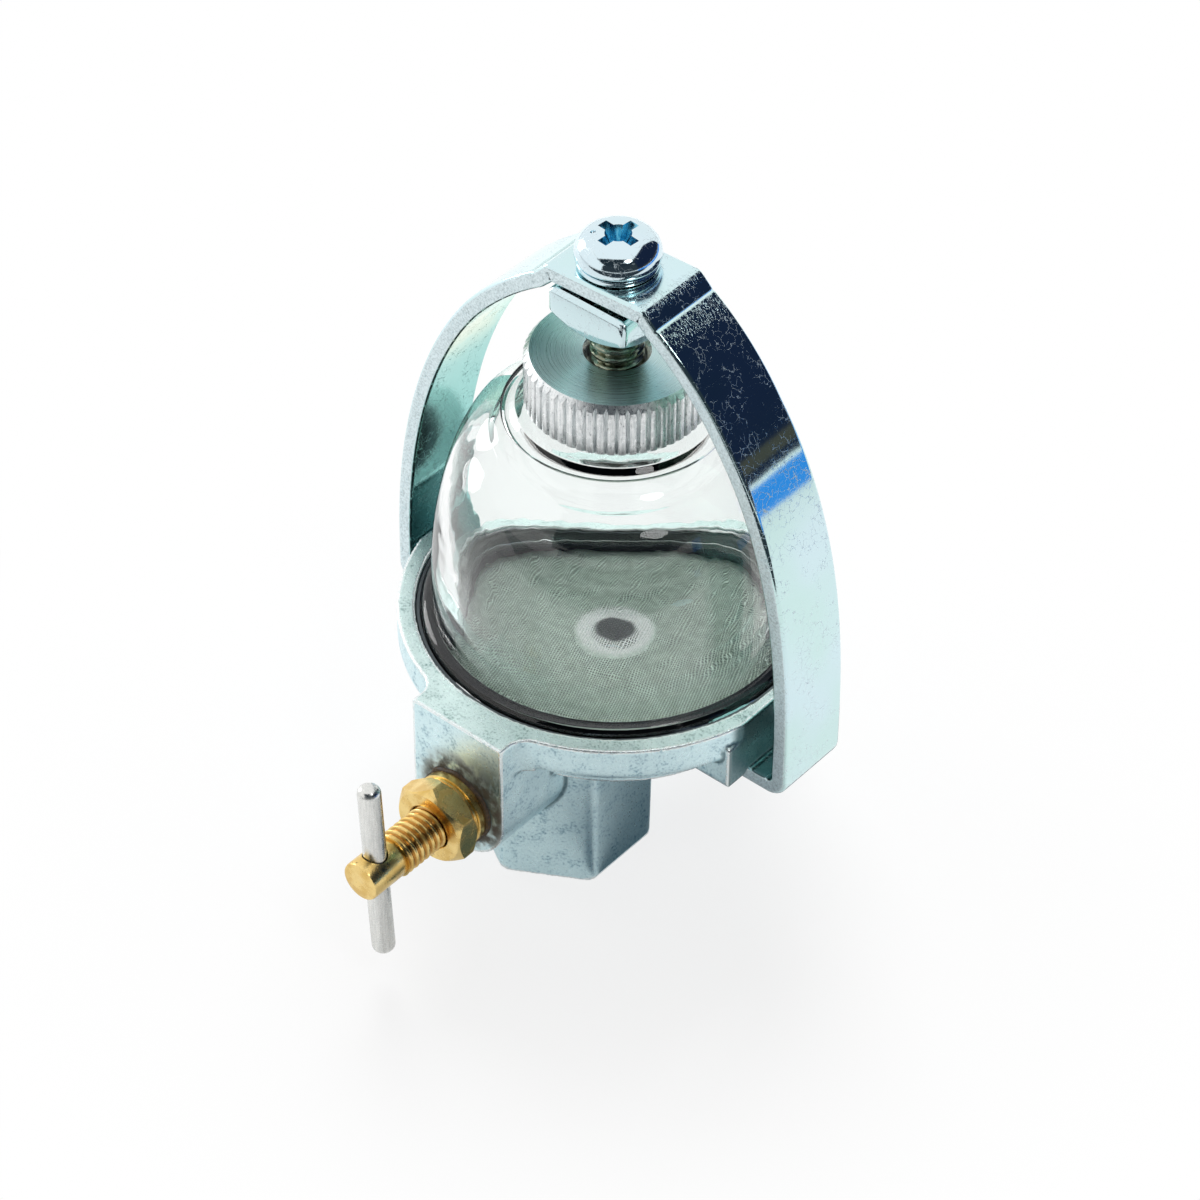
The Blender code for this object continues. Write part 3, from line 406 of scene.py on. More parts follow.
class Finish(Nodes):
    """A material built around its Principled shader."""

    def __init__(self, name, **sockets):
        self.material = bpy.data.materials.new(name)
        self.material.use_nodes = True
        super().__init__(self.material.node_tree)
        self.shader = self.tree.nodes["Principled BSDF"]
        coordinates = self.add("ShaderNodeTexCoord")
        self.place = coordinates.outputs["Object"]
        self.facing = coordinates.outputs["Normal"]
        self.set(**sockets)

    def set(self, **sockets):
        for key, value in sockets.items():
            self.plug(self.shader, key.replace("_", " "), value)

    def done(self, color, rough, normal=None):
        self.set(Base_Color=color, Roughness=rough)
        if normal:
            self.set(Normal=normal)
        return self.material

    def noise(self, scale, detail=3.0, stretch=None, roughness=0.55):
        """Noise in steps of about 1/scale millimetres, stretched along the axes if asked."""
        place = self.place
        if stretch:
            place = self.add("ShaderNodeMapping", {"Vector": place, "Scale": stretch}).outputs["Vector"]
        sockets = {"Vector": place, "Scale": scale / MM, "Detail": detail, "Roughness": roughness}
        return self.add("ShaderNodeTexNoise", sockets).outputs["Fac"]

    def ramp(self, value, low, high, to_low=0.0, to_high=1.0):
        sockets = {"Value": value, "From Min": low, "From Max": high, "To Min": to_low, "To Max": to_high}
        return self.add("ShaderNodeMapRange", sockets, interpolation_type="SMOOTHSTEP").outputs["Result"]

    def fall(self, value, low, high, top=1.0):
        return self.ramp(value, low, high, top, 0.0)

    def mix(self, share, first, second):
        return self.add("ShaderNodeMix", {0: share, 6: first, 7: second}, data_type="RGBA").outputs[2]

    def axis(self, vector, name):
        return self.add("ShaderNodeSeparateXYZ", {"Vector": vector}).outputs[name]

    def size(self, vector, name):
        """How large a vector is along one axis, either way."""
        return self.math("ABSOLUTE", self.axis(vector, name), 0.0)

    def vector(self, operation, first, second):
        node = self.add("ShaderNodeVectorMath", {0: first, 1: second}, operation=operation)
        return node.outputs["Value" if operation == "DISTANCE" else "Vector"]

    def off_axis(self, across, middle):
        """Distance from an axis through middle. across is 0 along that axis and 1 along the others."""
        return self.vector("DISTANCE", self.vector("MULTIPLY", self.place, across), middle)

    def near(self, point, inner, outer):
        """1 within inner millimetres of a point, and 0 beyond outer."""
        distance = self.vector("DISTANCE", self.place, TO_FRAME @ Vector(point))
        return self.fall(distance, inner * MM, outer * MM)

    def bump(self, height, depth, under=None):
        sockets = {"Height": height, "Distance": depth * MM, "Strength": 1.0}
        if under:
            sockets["Normal"] = under
        return self.add("ShaderNodeBump", sockets).outputs["Normal"]


def plain_finish(name, metallic, pattern, dark, light, rough, span=(0.3, 0.7), depth=0):
    """Two tones mixed by one noise, which also sets the roughness and, where it has a depth, the bumps."""
    made = Finish(name, Metallic=metallic)
    grain = made.noise(*pattern)
    color = made.mix(made.ramp(grain, *span), dark, light)
    return made.done(color, made.ramp(grain, 0.3, 0.7, *rough), made.bump(grain, depth) if depth else None)


def casting_finish():
    """Blasted die casting: grain, paler patches, a painted reflected tint by facing, rubbed edges with a
    painted highlight, painted shade in corners and on the strap's flats, and a painted dark reflection and
    painted shade of the bonnet on the valve block's front.
    """
    made = Finish("cast_alloy")
    grain = made.noise(3.0, 6.0, roughness=0.70)
    fine = made.noise(6.0, 3.0, roughness=0.6)
    patch = made.noise(0.42, 5.0, roughness=0.6)
    # Tops greener and sides bluer: a painted reflected tint that follows the facing.
    upward = made.ramp(made.axis(made.facing, "Z"), 0.1, 0.9)
    light = made.mix(upward, (0.75, 0.96, 1.0), (0.82, 1.0, 0.97))
    dark = made.mix(upward, (0.20, 0.40, 0.50), (0.20, 0.38, 0.36))
    share = made.plus(made.times(grain, 0.60), made.times(patch, 0.40))
    color = made.mix(made.ramp(share, 0.33, 0.51), dark, light)
    color = made.mix(made.ramp(fine, 0.60, 0.74, 0.0, 0.55), color, (0.13, 0.22, 0.25))
    bend = made.add("ShaderNodeAttribute", attribute_name="bend").outputs["Fac"]
    # Rubbed edges: wear lowers the roughness, and the near-white colour is a painted highlight.
    rubbed_and_highlight = made.times(made.ramp(bend, 0.25, 0.8), made.ramp(grain, 0.36, 0.50, 0.3, 1.0))
    color = made.mix(rubbed_and_highlight, color, (0.94, 1.0, 1.0))
    # Painted shade in the corners, where the surface bends inwards.
    color = made.mix(made.fall(bend, -0.7, -0.10, 0.75), color, (0.07, 0.15, 0.18))
    # Painted shade: the flats behind the strap's hooks are dark teal, as in the gap under the strap.
    at_flat = made.ramp(made.size(made.place, "X"), (FLAT_X - 0.6) * MM, (FLAT_X - 0.2) * MM)
    sideways = made.ramp(made.size(made.facing, "X"), 0.6, 0.9, 0.0, 0.85)
    color = made.mix(made.times(at_flat, sideways), color, (0.03, 0.10, 0.11))
    front = made.fall(made.axis(made.facing, "Y"), -0.9, -0.4)
    brushed = made.ramp(made.noise(1.4, 5.0, (1.0, 1.0, 0.4), 0.7), 0.30, 0.56)
    # On the block's front: a painted dark reflection along its right edge, and painted shade of the bonnet
    # round the collar.
    dark_reflection_spot, bonnet_shade_spot = (6.6, -BLOCK_REACH, -9.0), (1.0, -BLOCK_REACH, -11.5)
    painted_dark_reflection = made.times(made.near(dark_reflection_spot, 2.0, 8.5), front, made.ramp(brushed, 0.0, 1.0, 0.35, 0.85))
    color = made.mix(painted_dark_reflection, color, (0.10, 0.15, 0.14))
    blotch = made.ramp(made.noise(0.55, 4.0), 0.34, 0.60, 0.15, 0.95)
    # Painted shade of the brass bonnet round its collar: dark brown, less metallic and rougher.
    bonnet_shade = made.times(made.near(bonnet_shade_spot, 5.0, 8.0), front, blotch)
    color = made.mix(bonnet_shade, color, (0.070, 0.052, 0.030))
    rough = made.ramp(share, 0.35, 0.65, 0.38, 0.26)
    rough = made.math("SUBTRACT", rough, made.times(rubbed_and_highlight, 0.16))
    rough = made.plus(rough, made.times(bonnet_shade, 0.3))
    made.set(Metallic=made.math("SUBTRACT", 0.80, made.times(bonnet_shade, 0.70)))
    return made.done(color, rough, made.bump(fine, 0.010, made.bump(grain, 0.035)))


def faced_finish():
    """Top of the riser, faced off and bright."""
    return plain_finish("faced_alloy", 0.9, (3.0, 4.0), (0.86, 0.90, 0.88), (0.97, 1.0, 0.98), (0.18, 0.30))


def gallery_finish():
    """Inside of the gallery under the screen: dull, and painted dark as painted shade in that recess."""
    return plain_finish("gallery_alloy", 0.4, (0.7, 5.0), (0.22, 0.26, 0.23), (0.34, 0.40, 0.35), (0.5, 0.7),
                        depth=0.04)


def plated(name, green, blue):
    """Bright zinc plate with a faint rainbow and hair scratches, still open to changes.

    Gives its finish, colour, roughness, bumps and grain."""
    made = Finish(name, Metallic=1.0)
    tint = made.mix(made.ramp(made.noise(0.07, 2.0), 0.35, 0.65), green, blue)
    grain = made.noise(5.0, 4.0, roughness=0.7)
    warp = made.add("ShaderNodeTexNoise", {"Vector": made.place, "Scale": 0.6 / MM, "Detail": 3.0})
    shift = made.vector("MULTIPLY", warp.outputs["Color"], (2.2 * MM, 2.2 * MM, 2.2 * MM))
    cell_place = {"Vector": made.vector("ADD", made.place, shift), "Scale": 0.95 / MM}
    cells = made.add("ShaderNodeTexVoronoi", cell_place, feature="DISTANCE_TO_EDGE")
    hair = made.times(made.fall(cells.outputs["Distance"], 0.008, 0.034),
                      made.ramp(made.noise(0.28, 4.0), 0.42, 0.54),
                      made.ramp(made.noise(0.9, 2.0), 0.36, 0.46))
    fine = made.ramp(made.noise(1.6, 6.0, (2.2, 0.35, 2.2), 0.75), 0.60, 0.70)
    fine = made.times(fine, made.ramp(made.noise(0.18, 3.0), 0.46, 0.60))
    worn = made.math("MAXIMUM", hair, fine)
    color = made.mix(made.times(worn, 0.6), tint, (0.80, 0.88, 0.92))
    rough = made.plus(made.ramp(grain, 0.3, 0.7, 0.05, 0.10), made.times(worn, 0.50))
    return made, color, rough, made.bump(made.noise(0.20, 2.0), 0.010), grain


def zinc_finish():
    """Plate of the screw, its washer and the square nut."""
    made, color, rough, normal, grain = plated("zinc_plate", (0.65, 0.81, 0.84), (0.71, 0.85, 0.91))
    return made.done(color, rough, made.bump(grain, 0.003, normal))


def strap_finish():
    """Plate of the strap: sheared edges, an inner side with a painted reflected tint and painted shade lower
    down, burrs, and grainy bends.
    """
    made, color, rough, normal, _ = plated("zinc_strap", (0.63, 0.85, 0.83), (0.68, 0.86, 0.91))
    turn = made.size(made.facing, "Y")
    edge = made.ramp(turn, 0.86, 0.98)
    cracks = made.noise(3.6, 4.0, roughness=0.7)
    sheared = made.mix(made.ramp(cracks, 0.30, 0.62), (0.52, 0.62, 0.64), (0.78, 0.90, 0.93))
    color = made.mix(edge, color, sheared)
    # The inner side is painted mint as a painted reflection, and dark teal lower down as painted shade.
    inward = made.times(made.axis(made.place, "X"), made.axis(made.facing, "X"))
    inner_reflection_and_shade = made.mix(made.ramp(made.noise(0.11, 3.0), 0.45, 0.62), (0.56, 0.94, 0.80), (0.80, 0.94, 0.70))
    inner_reflection_and_shade = made.mix(made.ramp(made.axis(made.place, "Z"), 0.053, 0.063), (0.27, 0.64, 0.59), inner_reflection_and_shade)
    color = made.mix(made.fall(inward, -12 * MM, -2 * MM, 0.85), color, inner_reflection_and_shade)
    burr = made.times(made.ramp(turn, 0.25, 0.45), made.fall(turn, 0.88, 0.97),
                      made.fall(inward, -4 * MM, -1.5 * MM),
                      made.ramp(made.noise(1.3, 4.0), 0.34, 0.48, 0.3, 1.0))
    color = made.mix(burr, color, (0.03, 0.055, 0.06))
    across = made.size(made.place, "X")
    upper = made.times(made.ramp(across, 6.5 * MM, 7.2 * MM), made.fall(across, 7.6 * MM, 9.2 * MM))
    lower = made.times(made.ramp(across, 9.6 * MM, 10.2 * MM), made.fall(across, 10.4 * MM, 13.5 * MM, 0.8))
    streak = made.ramp(made.noise(5.0, 3.0, (0.45, 1.3, 0.45), 0.65), 0.52, 0.74)
    rough = made.plus(rough, made.times(edge, 0.30))
    rough = made.plus(rough, made.ramp(made.axis(made.facing, "Z"), 0.93, 0.99, 0.0, 0.06))
    normal = made.bump(made.times(streak, made.plus(upper, lower)), 0.032, normal)
    normal = made.bump(made.times(cracks, made.ramp(edge, 0.0, 1.0, 0.05, 1.0)), 0.025, normal)
    return made.done(color, rough, normal)


def recess_finish():
    """Plate in the screw's recess, painted bluer and darker as painted shade and a painted blue reflection in
    the recess.
    """
    return plain_finish("recess_plate", 1.0, (2.5, 4.0, (1.0, 1.0, 0.15)), (0.12, 0.44, 0.62),
                        (0.48, 0.82, 0.94), (0.12, 0.25), span=(0.35, 0.65))


def oiled_finish():
    """Oily screw thread."""
    return plain_finish("oiled_thread", 1.0, (0.8, 4.0), (0.20, 0.21, 0.14), (0.42, 0.45, 0.36), (0.12, 0.26),
                        span=(0.35, 0.65))


def turned_finish():
    """Turned steel face: fine rings about the bowl's axis, in a darker teal than the knurl's steel, which is
    a painted reflection.
    """
    made = Finish("turned_steel", Metallic=1.0, Anisotropic=0.85, Anisotropic_Rotation=0.25)
    reach = made.off_axis((1.0, 1.0, 0.0), FOOT)
    pattern = {"W": reach, "Scale": 7.0 / MM, "Detail": 4.0}
    rings = made.add("ShaderNodeTexNoise", pattern, noise_dimensions="1D").outputs["Fac"]
    specks = made.ramp(made.noise(2.6, 2.0), 0.70, 0.76)
    color = made.mix(made.ramp(rings, 0.3, 0.7), (0.46, 0.64, 0.64), (0.54, 0.71, 0.71))
    color = made.mix(specks, color, (0.16, 0.24, 0.26))
    made.set(Tangent=made.add("ShaderNodeTangent", direction_type="RADIAL", axis="Z").outputs["Tangent"])
    return made.done(color, made.ramp(rings, 0.3, 0.7, 0.26, 0.34), made.bump(rings, 0.0002))


def knurled_finish():
    """Knurled steel: lines drawn along the teeth, and pits."""
    made = Finish("knurled_steel", Metallic=1.0)
    lines = made.noise(3.0, 5.0, (1.0, 1.0, 0.08), 0.7)
    pits = made.noise(3.4, 4.0, (1.0, 1.0, 0.5), 0.65)
    color = made.mix(made.ramp(lines, 0.34, 0.62), (0.66, 0.70, 0.71), (0.95, 0.97, 0.97))
    color = made.mix(made.ramp(pits, 0.60, 0.70, 0.0, 0.8), color, (0.22, 0.25, 0.26))
    rough = made.ramp(pits, 0.3, 0.7, 0.24, 0.40)
    return made.done(color, rough, made.bump(pits, 0.015, made.bump(lines, 0.02)))


def brass_finish():
    """Turned brass: drawn rings, light tarnish, small nicks and dark brown in the roots of the stem's thread.
    """
    made = Finish("turned_brass", Metallic=1.0)
    tarnish = made.noise(0.55, 4.0)
    rings = made.noise(1.1, 4.0, (0.3, 12.0, 0.3))
    nicks = made.noise(3.2, 2.0)
    color = made.mix(made.ramp(tarnish, 0.35, 0.7), (0.90, 0.67, 0.27), (0.75, 0.50, 0.15))
    color = made.mix(made.ramp(nicks, 0.68, 0.76), color, (0.30, 0.17, 0.05))
    radius = made.off_axis((1.0, 0.0, 1.0), Vector((0, 0, RIM_TOP - VALVE_DEPTH * MM)))
    thread_end = AXIS_Y - THREAD_END * MM
    threaded = made.ramp(made.axis(made.place, "Y"), thread_end - 0.1 * MM, thread_end + 0.1 * MM, 0.0, 0.9)
    # The roots of the stem's thread are coloured dark brown.
    dark_roots = made.times(made.fall(radius, 2.44 * MM, 2.70 * MM), threaded)
    color = made.mix(dark_roots, color, (0.46, 0.20, 0.035))
    rough = made.ramp(tarnish, 0.3, 0.7, 0.19, 0.32)
    return made.done(color, rough, made.bump(nicks, 0.012, made.bump(rings, 0.004)))


def steel_finish():
    """Ground steel pin: fine lines along its length and a satin sheen."""
    made = Finish("ground_steel", Metallic=1.0)
    lines = made.noise(5.0, 4.0, (1.0, 1.0, 0.06))
    color = made.mix(made.ramp(lines, 0.3, 0.7), (0.70, 0.71, 0.69), (0.84, 0.84, 0.81))
    return made.done(color, made.ramp(made.noise(1.5, 3.0), 0.3, 0.7, 0.20, 0.34), made.bump(lines, 0.006))


def tin_finish():
    """Tinned ring round the screen."""
    return plain_finish("tinned_ring", 1.0, (1.2, 3.0), (0.58, 0.60, 0.60), (0.72, 0.74, 0.73), (0.28, 0.42),
                        span=(0.35, 0.65))


def wire_finish():
    """Dull wire, painted near white over the riser's top as a painted highlight, and painted dark over the
    riser's hole as painted shade.
    """
    made = Finish("screen_wire", Metallic=0.25)
    tone = made.noise(0.9, 4.0)
    ragged = made.ramp(made.noise(2.2, 3.0), 0.25, 0.45, 0.55, 1.0)
    color = made.mix(made.ramp(tone, 0.3, 0.7), (0.58, 0.69, 0.61), (0.80, 0.92, 0.83))
    center = (0, 0, SCREEN_LEVEL)
    # Painted highlight: the wire over the riser's top is near white, as the lit riser shows through the
    # cloth.
    color = made.mix(made.times(made.near(center, 4.1, 5.2), ragged), color, (0.97, 1.0, 0.98))
    # Painted shade: the wire over the riser's hole is dark.
    color = made.mix(made.near(center, 1.9, 2.6), color, (0.06, 0.08, 0.09))
    return made.done(color, made.ramp(tone, 0.3, 0.7, 0.30, 0.45))


def rubber_finish():
    """Black rubber, painted paler on the gasket's up-facing lip as painted light."""
    made = Finish("black_rubber", Metallic=0.0, Specular_IOR_Level=0.25)
    grain = made.noise(4.0, 4.0)
    color = made.mix(made.ramp(grain, 0.3, 0.7), (0.004, 0.005, 0.007), (0.014, 0.016, 0.020))
    # Painted light: the top of the gasket's lip is paler where it faces up.
    at_lip = made.ramp(made.axis(made.place, "Z"), RIM_TOP - 0.0012, RIM_TOP - 0.0006)
    lip = made.times(made.ramp(made.axis(made.facing, "Z"), 0.5, 0.9), at_lip)
    color = made.mix(lip, color, (0.110, 0.125, 0.135))
    return made.done(color, made.ramp(grain, 0.3, 0.7, 0.5, 0.7), made.bump(grain, 0.02))


def fibre_finish():
    """Red fibre of the pad on the glass."""
    return plain_finish("red_fibre", 0.0, (2.5, 5.0, (1.0, 1.0, 3.0)), (0.20, 0.08, 0.045),
                        (0.34, 0.16, 0.09), (0.7, 0.9), depth=0.03)


def sealant_finish():
    """Brown sealant, lumpy."""
    return plain_finish("brown_sealant", 0.0, (2.5, 4.0), (0.030, 0.018, 0.010), (0.11, 0.065, 0.030),
                        (0.4, 0.7), span=(0.35, 0.65), depth=0.05)


def glass_finish():
    """Clear pressed glass, a little uneven. Lamps shine through it."""
    made = Finish("clear_glass", Transmission_Weight=1.0, IOR=1.5)
    waves = made.bump(made.noise(0.16, 2.0), 0.05)
    made.done((0.97, 0.99, 0.985), made.ramp(made.noise(0.5, 3.0), 0.45, 0.75, 0.0, 0.03), waves)
    through = made.add("ShaderNodeBsdfTransparent", {"Color": (0.90, 0.93, 0.92)})
    made.show(made.add("ShaderNodeLightPath").outputs["Is Shadow Ray"], made.shader, through)
    return made.material


def casting():
    """The head with its rim, valve block, hexagon and bosses, cut through and then softened all over."""
    rim_steps, bore_steps = 192, 72
    outline = [(0, 0), (RIM_RADIUS, 0)]
    outline += arc(RIM_RADIUS - RIM_ROUND, RIM_ROUND - RIM_HEIGHT, RIM_ROUND, 0, -pi / 2, 6)
    outline += [(SKIRT_RADIUS, GALLERY_FLOOR), (SKIRT_RADIUS, CUP_UNDERSIDE), (0, CUP_UNDERSIDE)]
    body = raw_object("cast_head", lathe(outline, rim_steps))

    fillet_x = BLOCK_HALF + BLOCK_FILLET
    fillet_y = -sqrt((RIM_RADIUS + BLOCK_FILLET) ** 2 - fillet_x ** 2)
    touch = asin(fillet_x / (RIM_RADIUS + BLOCK_FILLET))
    right = [(BLOCK_HALF, -BLOCK_REACH)]
    right += arc(fillet_x, fillet_y, BLOCK_FILLET, pi, pi / 2 + touch, 12)
    right.append(((RIM_RADIUS - 1) * sin(touch), -(RIM_RADIUS - 1) * cos(touch)))
    plan = right + [(-x, y) for x, y in reversed(right)]
    middle = -RIM_HEIGHT / 2
    section = arc(0, 0, BLOCK_HALF, pi, 2 * pi, 32)
    section += [(BLOCK_HALF, VALVE_DEPTH + middle), (-BLOCK_HALF, VALVE_DEPTH + middle)]
    at_hex = (0, -HEX_OFFSET)
    hexagon = polygon(6, HEX_FLATS / 2, HEX_CORNER, pi / 2, at_hex)
    hex_top = CUP_UNDERSIDE + 1.3
    boss_radius, boss_start, boss_end = 6.6, 7.7, -25.2
    added = [
        raw_object("block", prism(plan, -RIM_HEIGHT, 0)),
        raw_object("housing", prism(section, HEX_OFFSET, BLOCK_REACH), VALVE),
        raw_object("hexagon", prism(hexagon, -BODY_HEIGHT, hex_top, HEX_DRAFT, at_hex)),
        raw_object("outlet_boss", lathe(rod((boss_radius, boss_start, boss_end)), 96), VALVE),
    ]

    seat = rod((RIM_INNER, RIM_HEIGHT, -SEAT_DEPTH), (LEDGE_RADIUS, -SEAT_DEPTH, GALLERY_FLOOR),
               (RISER_BOSS, GALLERY_FLOOR, -SEAT_DEPTH))
    bonnet_bore, chamber, needle_hole = 4.3, 3.1, 1.4
    bonnet_end, seat_end, outside = 18.2, 2.75, 56
    bore = rod((bonnet_bore, outside, bonnet_end), (chamber, bonnet_end, seat_end),
               (needle_hole, seat_end, 0))
    inlet, pipe_hole, chamfer = 2.8, 5.6, 1.2
    pipe_end, port_mouth = -16.8, -28.7
    port = rod((inlet, -VALVE_DEPTH, pipe_end), (pipe_hole, pipe_end, port_mouth))[:-1]
    port += [(pipe_hole + chamfer, port_mouth - chamfer), (0, port_mouth - chamfer)]
    riser_end = -13.9
    drop_y, drop_radius = 13.0, 1.9
    passage, outlet_hole = 2.2, 4.3
    passage_start, outlet_start, behind = -10.8, -15.2, -50
    way_out = rod((passage, passage_start, outlet_start), (outlet_hole, outlet_start, behind))
    removed = [
        raw_object("seat", lathe(seat, rim_steps)),
        raw_object("bore", lathe(bore, bore_steps), VALVE),
        raw_object("port", lathe(port, bore_steps), Matrix.Translation((0, -HEX_OFFSET, 0))),
        raw_object("riser", lathe(rod((RISER_RADIUS, RIM_HEIGHT, riser_end)), bore_steps)),
        raw_object("drop", lathe(rod((drop_radius, -SEAT_DEPTH, -VALVE_DEPTH)), 48),
                   Matrix.Translation((0, drop_y, 0))),
        raw_object("way_out", lathe(way_out, bore_steps), VALVE),
    ]
    cut_reach, cut_half, cut_top = 60, 40, 10
    for side in (-1, 1):
        near_x, far_x = sorted((side * (FLAT_X - PAD_LENGTH), side * RIM_RADIUS))
        reach = LUG_START + LUG_THICKNESS / 2
        pad = rectangle(near_x, far_x, -reach, reach)
        added.append(raw_object("pad", prism(pad, PAD_UNDERSIDE, middle)))
        for hand in (-1, 1):
            near_y, far_y = sorted((hand * LUG_START, hand * (LUG_START + LUG_THICKNESS)))
            lug = rectangle(near_x, far_x, near_y, far_y)
            added.append(raw_object("lug", prism(lug, PAD_UNDERSIDE - LUG_DROP, middle)))
        low_x, high_x = sorted((side * FLAT_X, side * cut_reach))
        flat = rectangle(low_x, high_x, -cut_half, cut_half)
        removed.append(raw_object("flat", prism(flat, -cut_half, cut_top)))
    groups = [combined(body, added, "UNION"), combined(body, removed, "DIFFERENCE")]
    remesh = body.modifiers.new("remesh", "REMESH")
    remesh.mode = "VOXEL"
    remesh.voxel_size = 0.24
    smooth = body.modifiers.new("smooth", "SMOOTH")
    smooth.iterations = 4
    made = settled(body, groups)
    mark_edges(made)
    for face in made.data.polygons:
        reach, height = hypot(face.center.x, face.center.y), face.center.z
        if reach < RISER_BOSS + 0.1 and -SEAT_DEPTH - 0.15 < height < -SEAT_DEPTH + 0.3:
            face.material_index = 1
        elif reach < LEDGE_RADIUS + 0.1 and CUP_UNDERSIDE + 0.4 < height < -SEAT_DEPTH - 0.1:
            face.material_index = 2
    return made


def bowl():
    """Bullet-shaped bowl with a low boss on its crown, a bead at its mouth and slightly uneven walls."""
    steps = 64
    boss_round, mouth_round = 0.3, 0.45
    boss_height = 0.4
    dome_top = BOWL_TOP - boss_height
    outer = raised(BOWL_TOP, [(radius, 0) for radius in (0, 3, 6, 9, 11)])
    outer += arc(CROWN_FLAT - boss_round, BOWL_TOP - boss_round, boss_round, pi / 2, pi / 4, 5)
    moat = ((0.35, -0.55), (0.75, -0.80), (1.15, -0.86), (1.30, -0.80))
    moat_end = CROWN_FLAT + 1.4
    outer += raised(BOWL_TOP, [(CROWN_FLAT + out, down) for out, down in moat])
    dome = arc(CROWN_FLAT, DOME_FOOT, BOWL_RADIUS - CROWN_FLAT, pi / 2, 0, steps, dome_top - DOME_FOOT)
    outer += [(radius, height) for radius, height in dome if radius > moat_end]
    bead = BEAD_RADIUS - BOWL_RADIUS
    bead_top = BOWL_BOTTOM + 3.1
    outer += [(BOWL_RADIUS, height) for height in (3.0, 1.6)]
    outer += arc(BOWL_RADIUS, bead_top - bead, bead, pi / 2, 0, 8)
    outer += arc(BEAD_RADIUS - mouth_round, BOWL_BOTTOM + mouth_round, mouth_round, 0, -pi / 2, 5)
    inner = arc(MOUTH_RADIUS + mouth_round, BOWL_BOTTOM + mouth_round, mouth_round, -pi / 2, -pi, 5)
    inner += [(MOUTH_RADIUS, height) for height in (0.0, 2.2)]
    inner_flat, inner_top, fullness = 8.0, 26.0, 2.5
    mark_radius, mark_half, mark_depth = 12.6, 0.3, 0.10
    for step in range(steps + 1):
        angle = pi / 2 * step / steps
        radius = inner_flat + (MOUTH_RADIUS - inner_flat) * max(cos(angle), 0) ** (2 / fullness)
        height = DOME_FOOT + (inner_top - DOME_FOOT) * sin(angle) ** (2 / fullness)
        mark = mark_depth * max(1 - abs(radius - mark_radius) / mark_half, 0)
        inner.append((radius + mark, height + mark))
    inner += [(radius, inner_top) for radius in (6, 3, 0)]
    inner_rings = {round(height, 6) for _, height in inner}
    outer_wave, inner_wave, inner_ripple = 0.02, 0.07, 0.012

    def uneven(radius, height, angle):
        spot = Vector((radius * cos(angle), radius * sin(angle), height))
        wave, ripple = noise.noise(spot * 0.16), noise.noise(spot * 0.9)
        if round(height, 6) not in inner_rings or radius > MOUTH_RADIUS + 0.01:
            return radius + outer_wave * wave, height
        return radius + inner_wave * wave + inner_ripple * ripple, height

    return raw_object("pressed_bowl", lathe(outer + inner, 256, uneven))


def woven_screen():
    """Plain-weave wire cloth: two sets of wires that pass over and under each other."""
    pitch = 0.30
    half_wire = 0.060
    turn = radians(21)
    verts = []
    faces = []
    count = int(SCREEN_RADIUS / pitch)
    for weft in (0, 1):
        for index in range(-count, count + 1):
            offset = index * pitch
            reach = int(sqrt(max(SCREEN_RADIUS ** 2 - offset ** 2, 0)) / pitch)
            if reach < 2:
                continue
            faces += tube_faces(4, 2 * reach + 1, len(verts))
            for step in range(-reach, reach + 1):
                along = step * pitch
                lift = half_wire * (1 if (index + step + weft) % 2 else -1)
                for side, rise in ((half_wire, 0), (0, half_wire), (-half_wire, 0), (0, -half_wire)):
                    x, y = (along, offset + side) if weft else (offset + side, along)
                    at_x = x * cos(turn) - y * sin(turn)
                    at_y = x * sin(turn) + y * cos(turn)
                    verts.append((at_x, at_y, SCREEN_LEVEL + lift + rise))
    return raw_object("woven_screen", (verts, faces))


def bezier(controls, along):
    back = 1 - along
    weights = (back ** 3, 3 * back ** 2 * along, 3 * back * along ** 2, along ** 3)
    return tuple(sum(w * point[axis] for w, point in zip(weights, controls)) for axis in (0, 1))


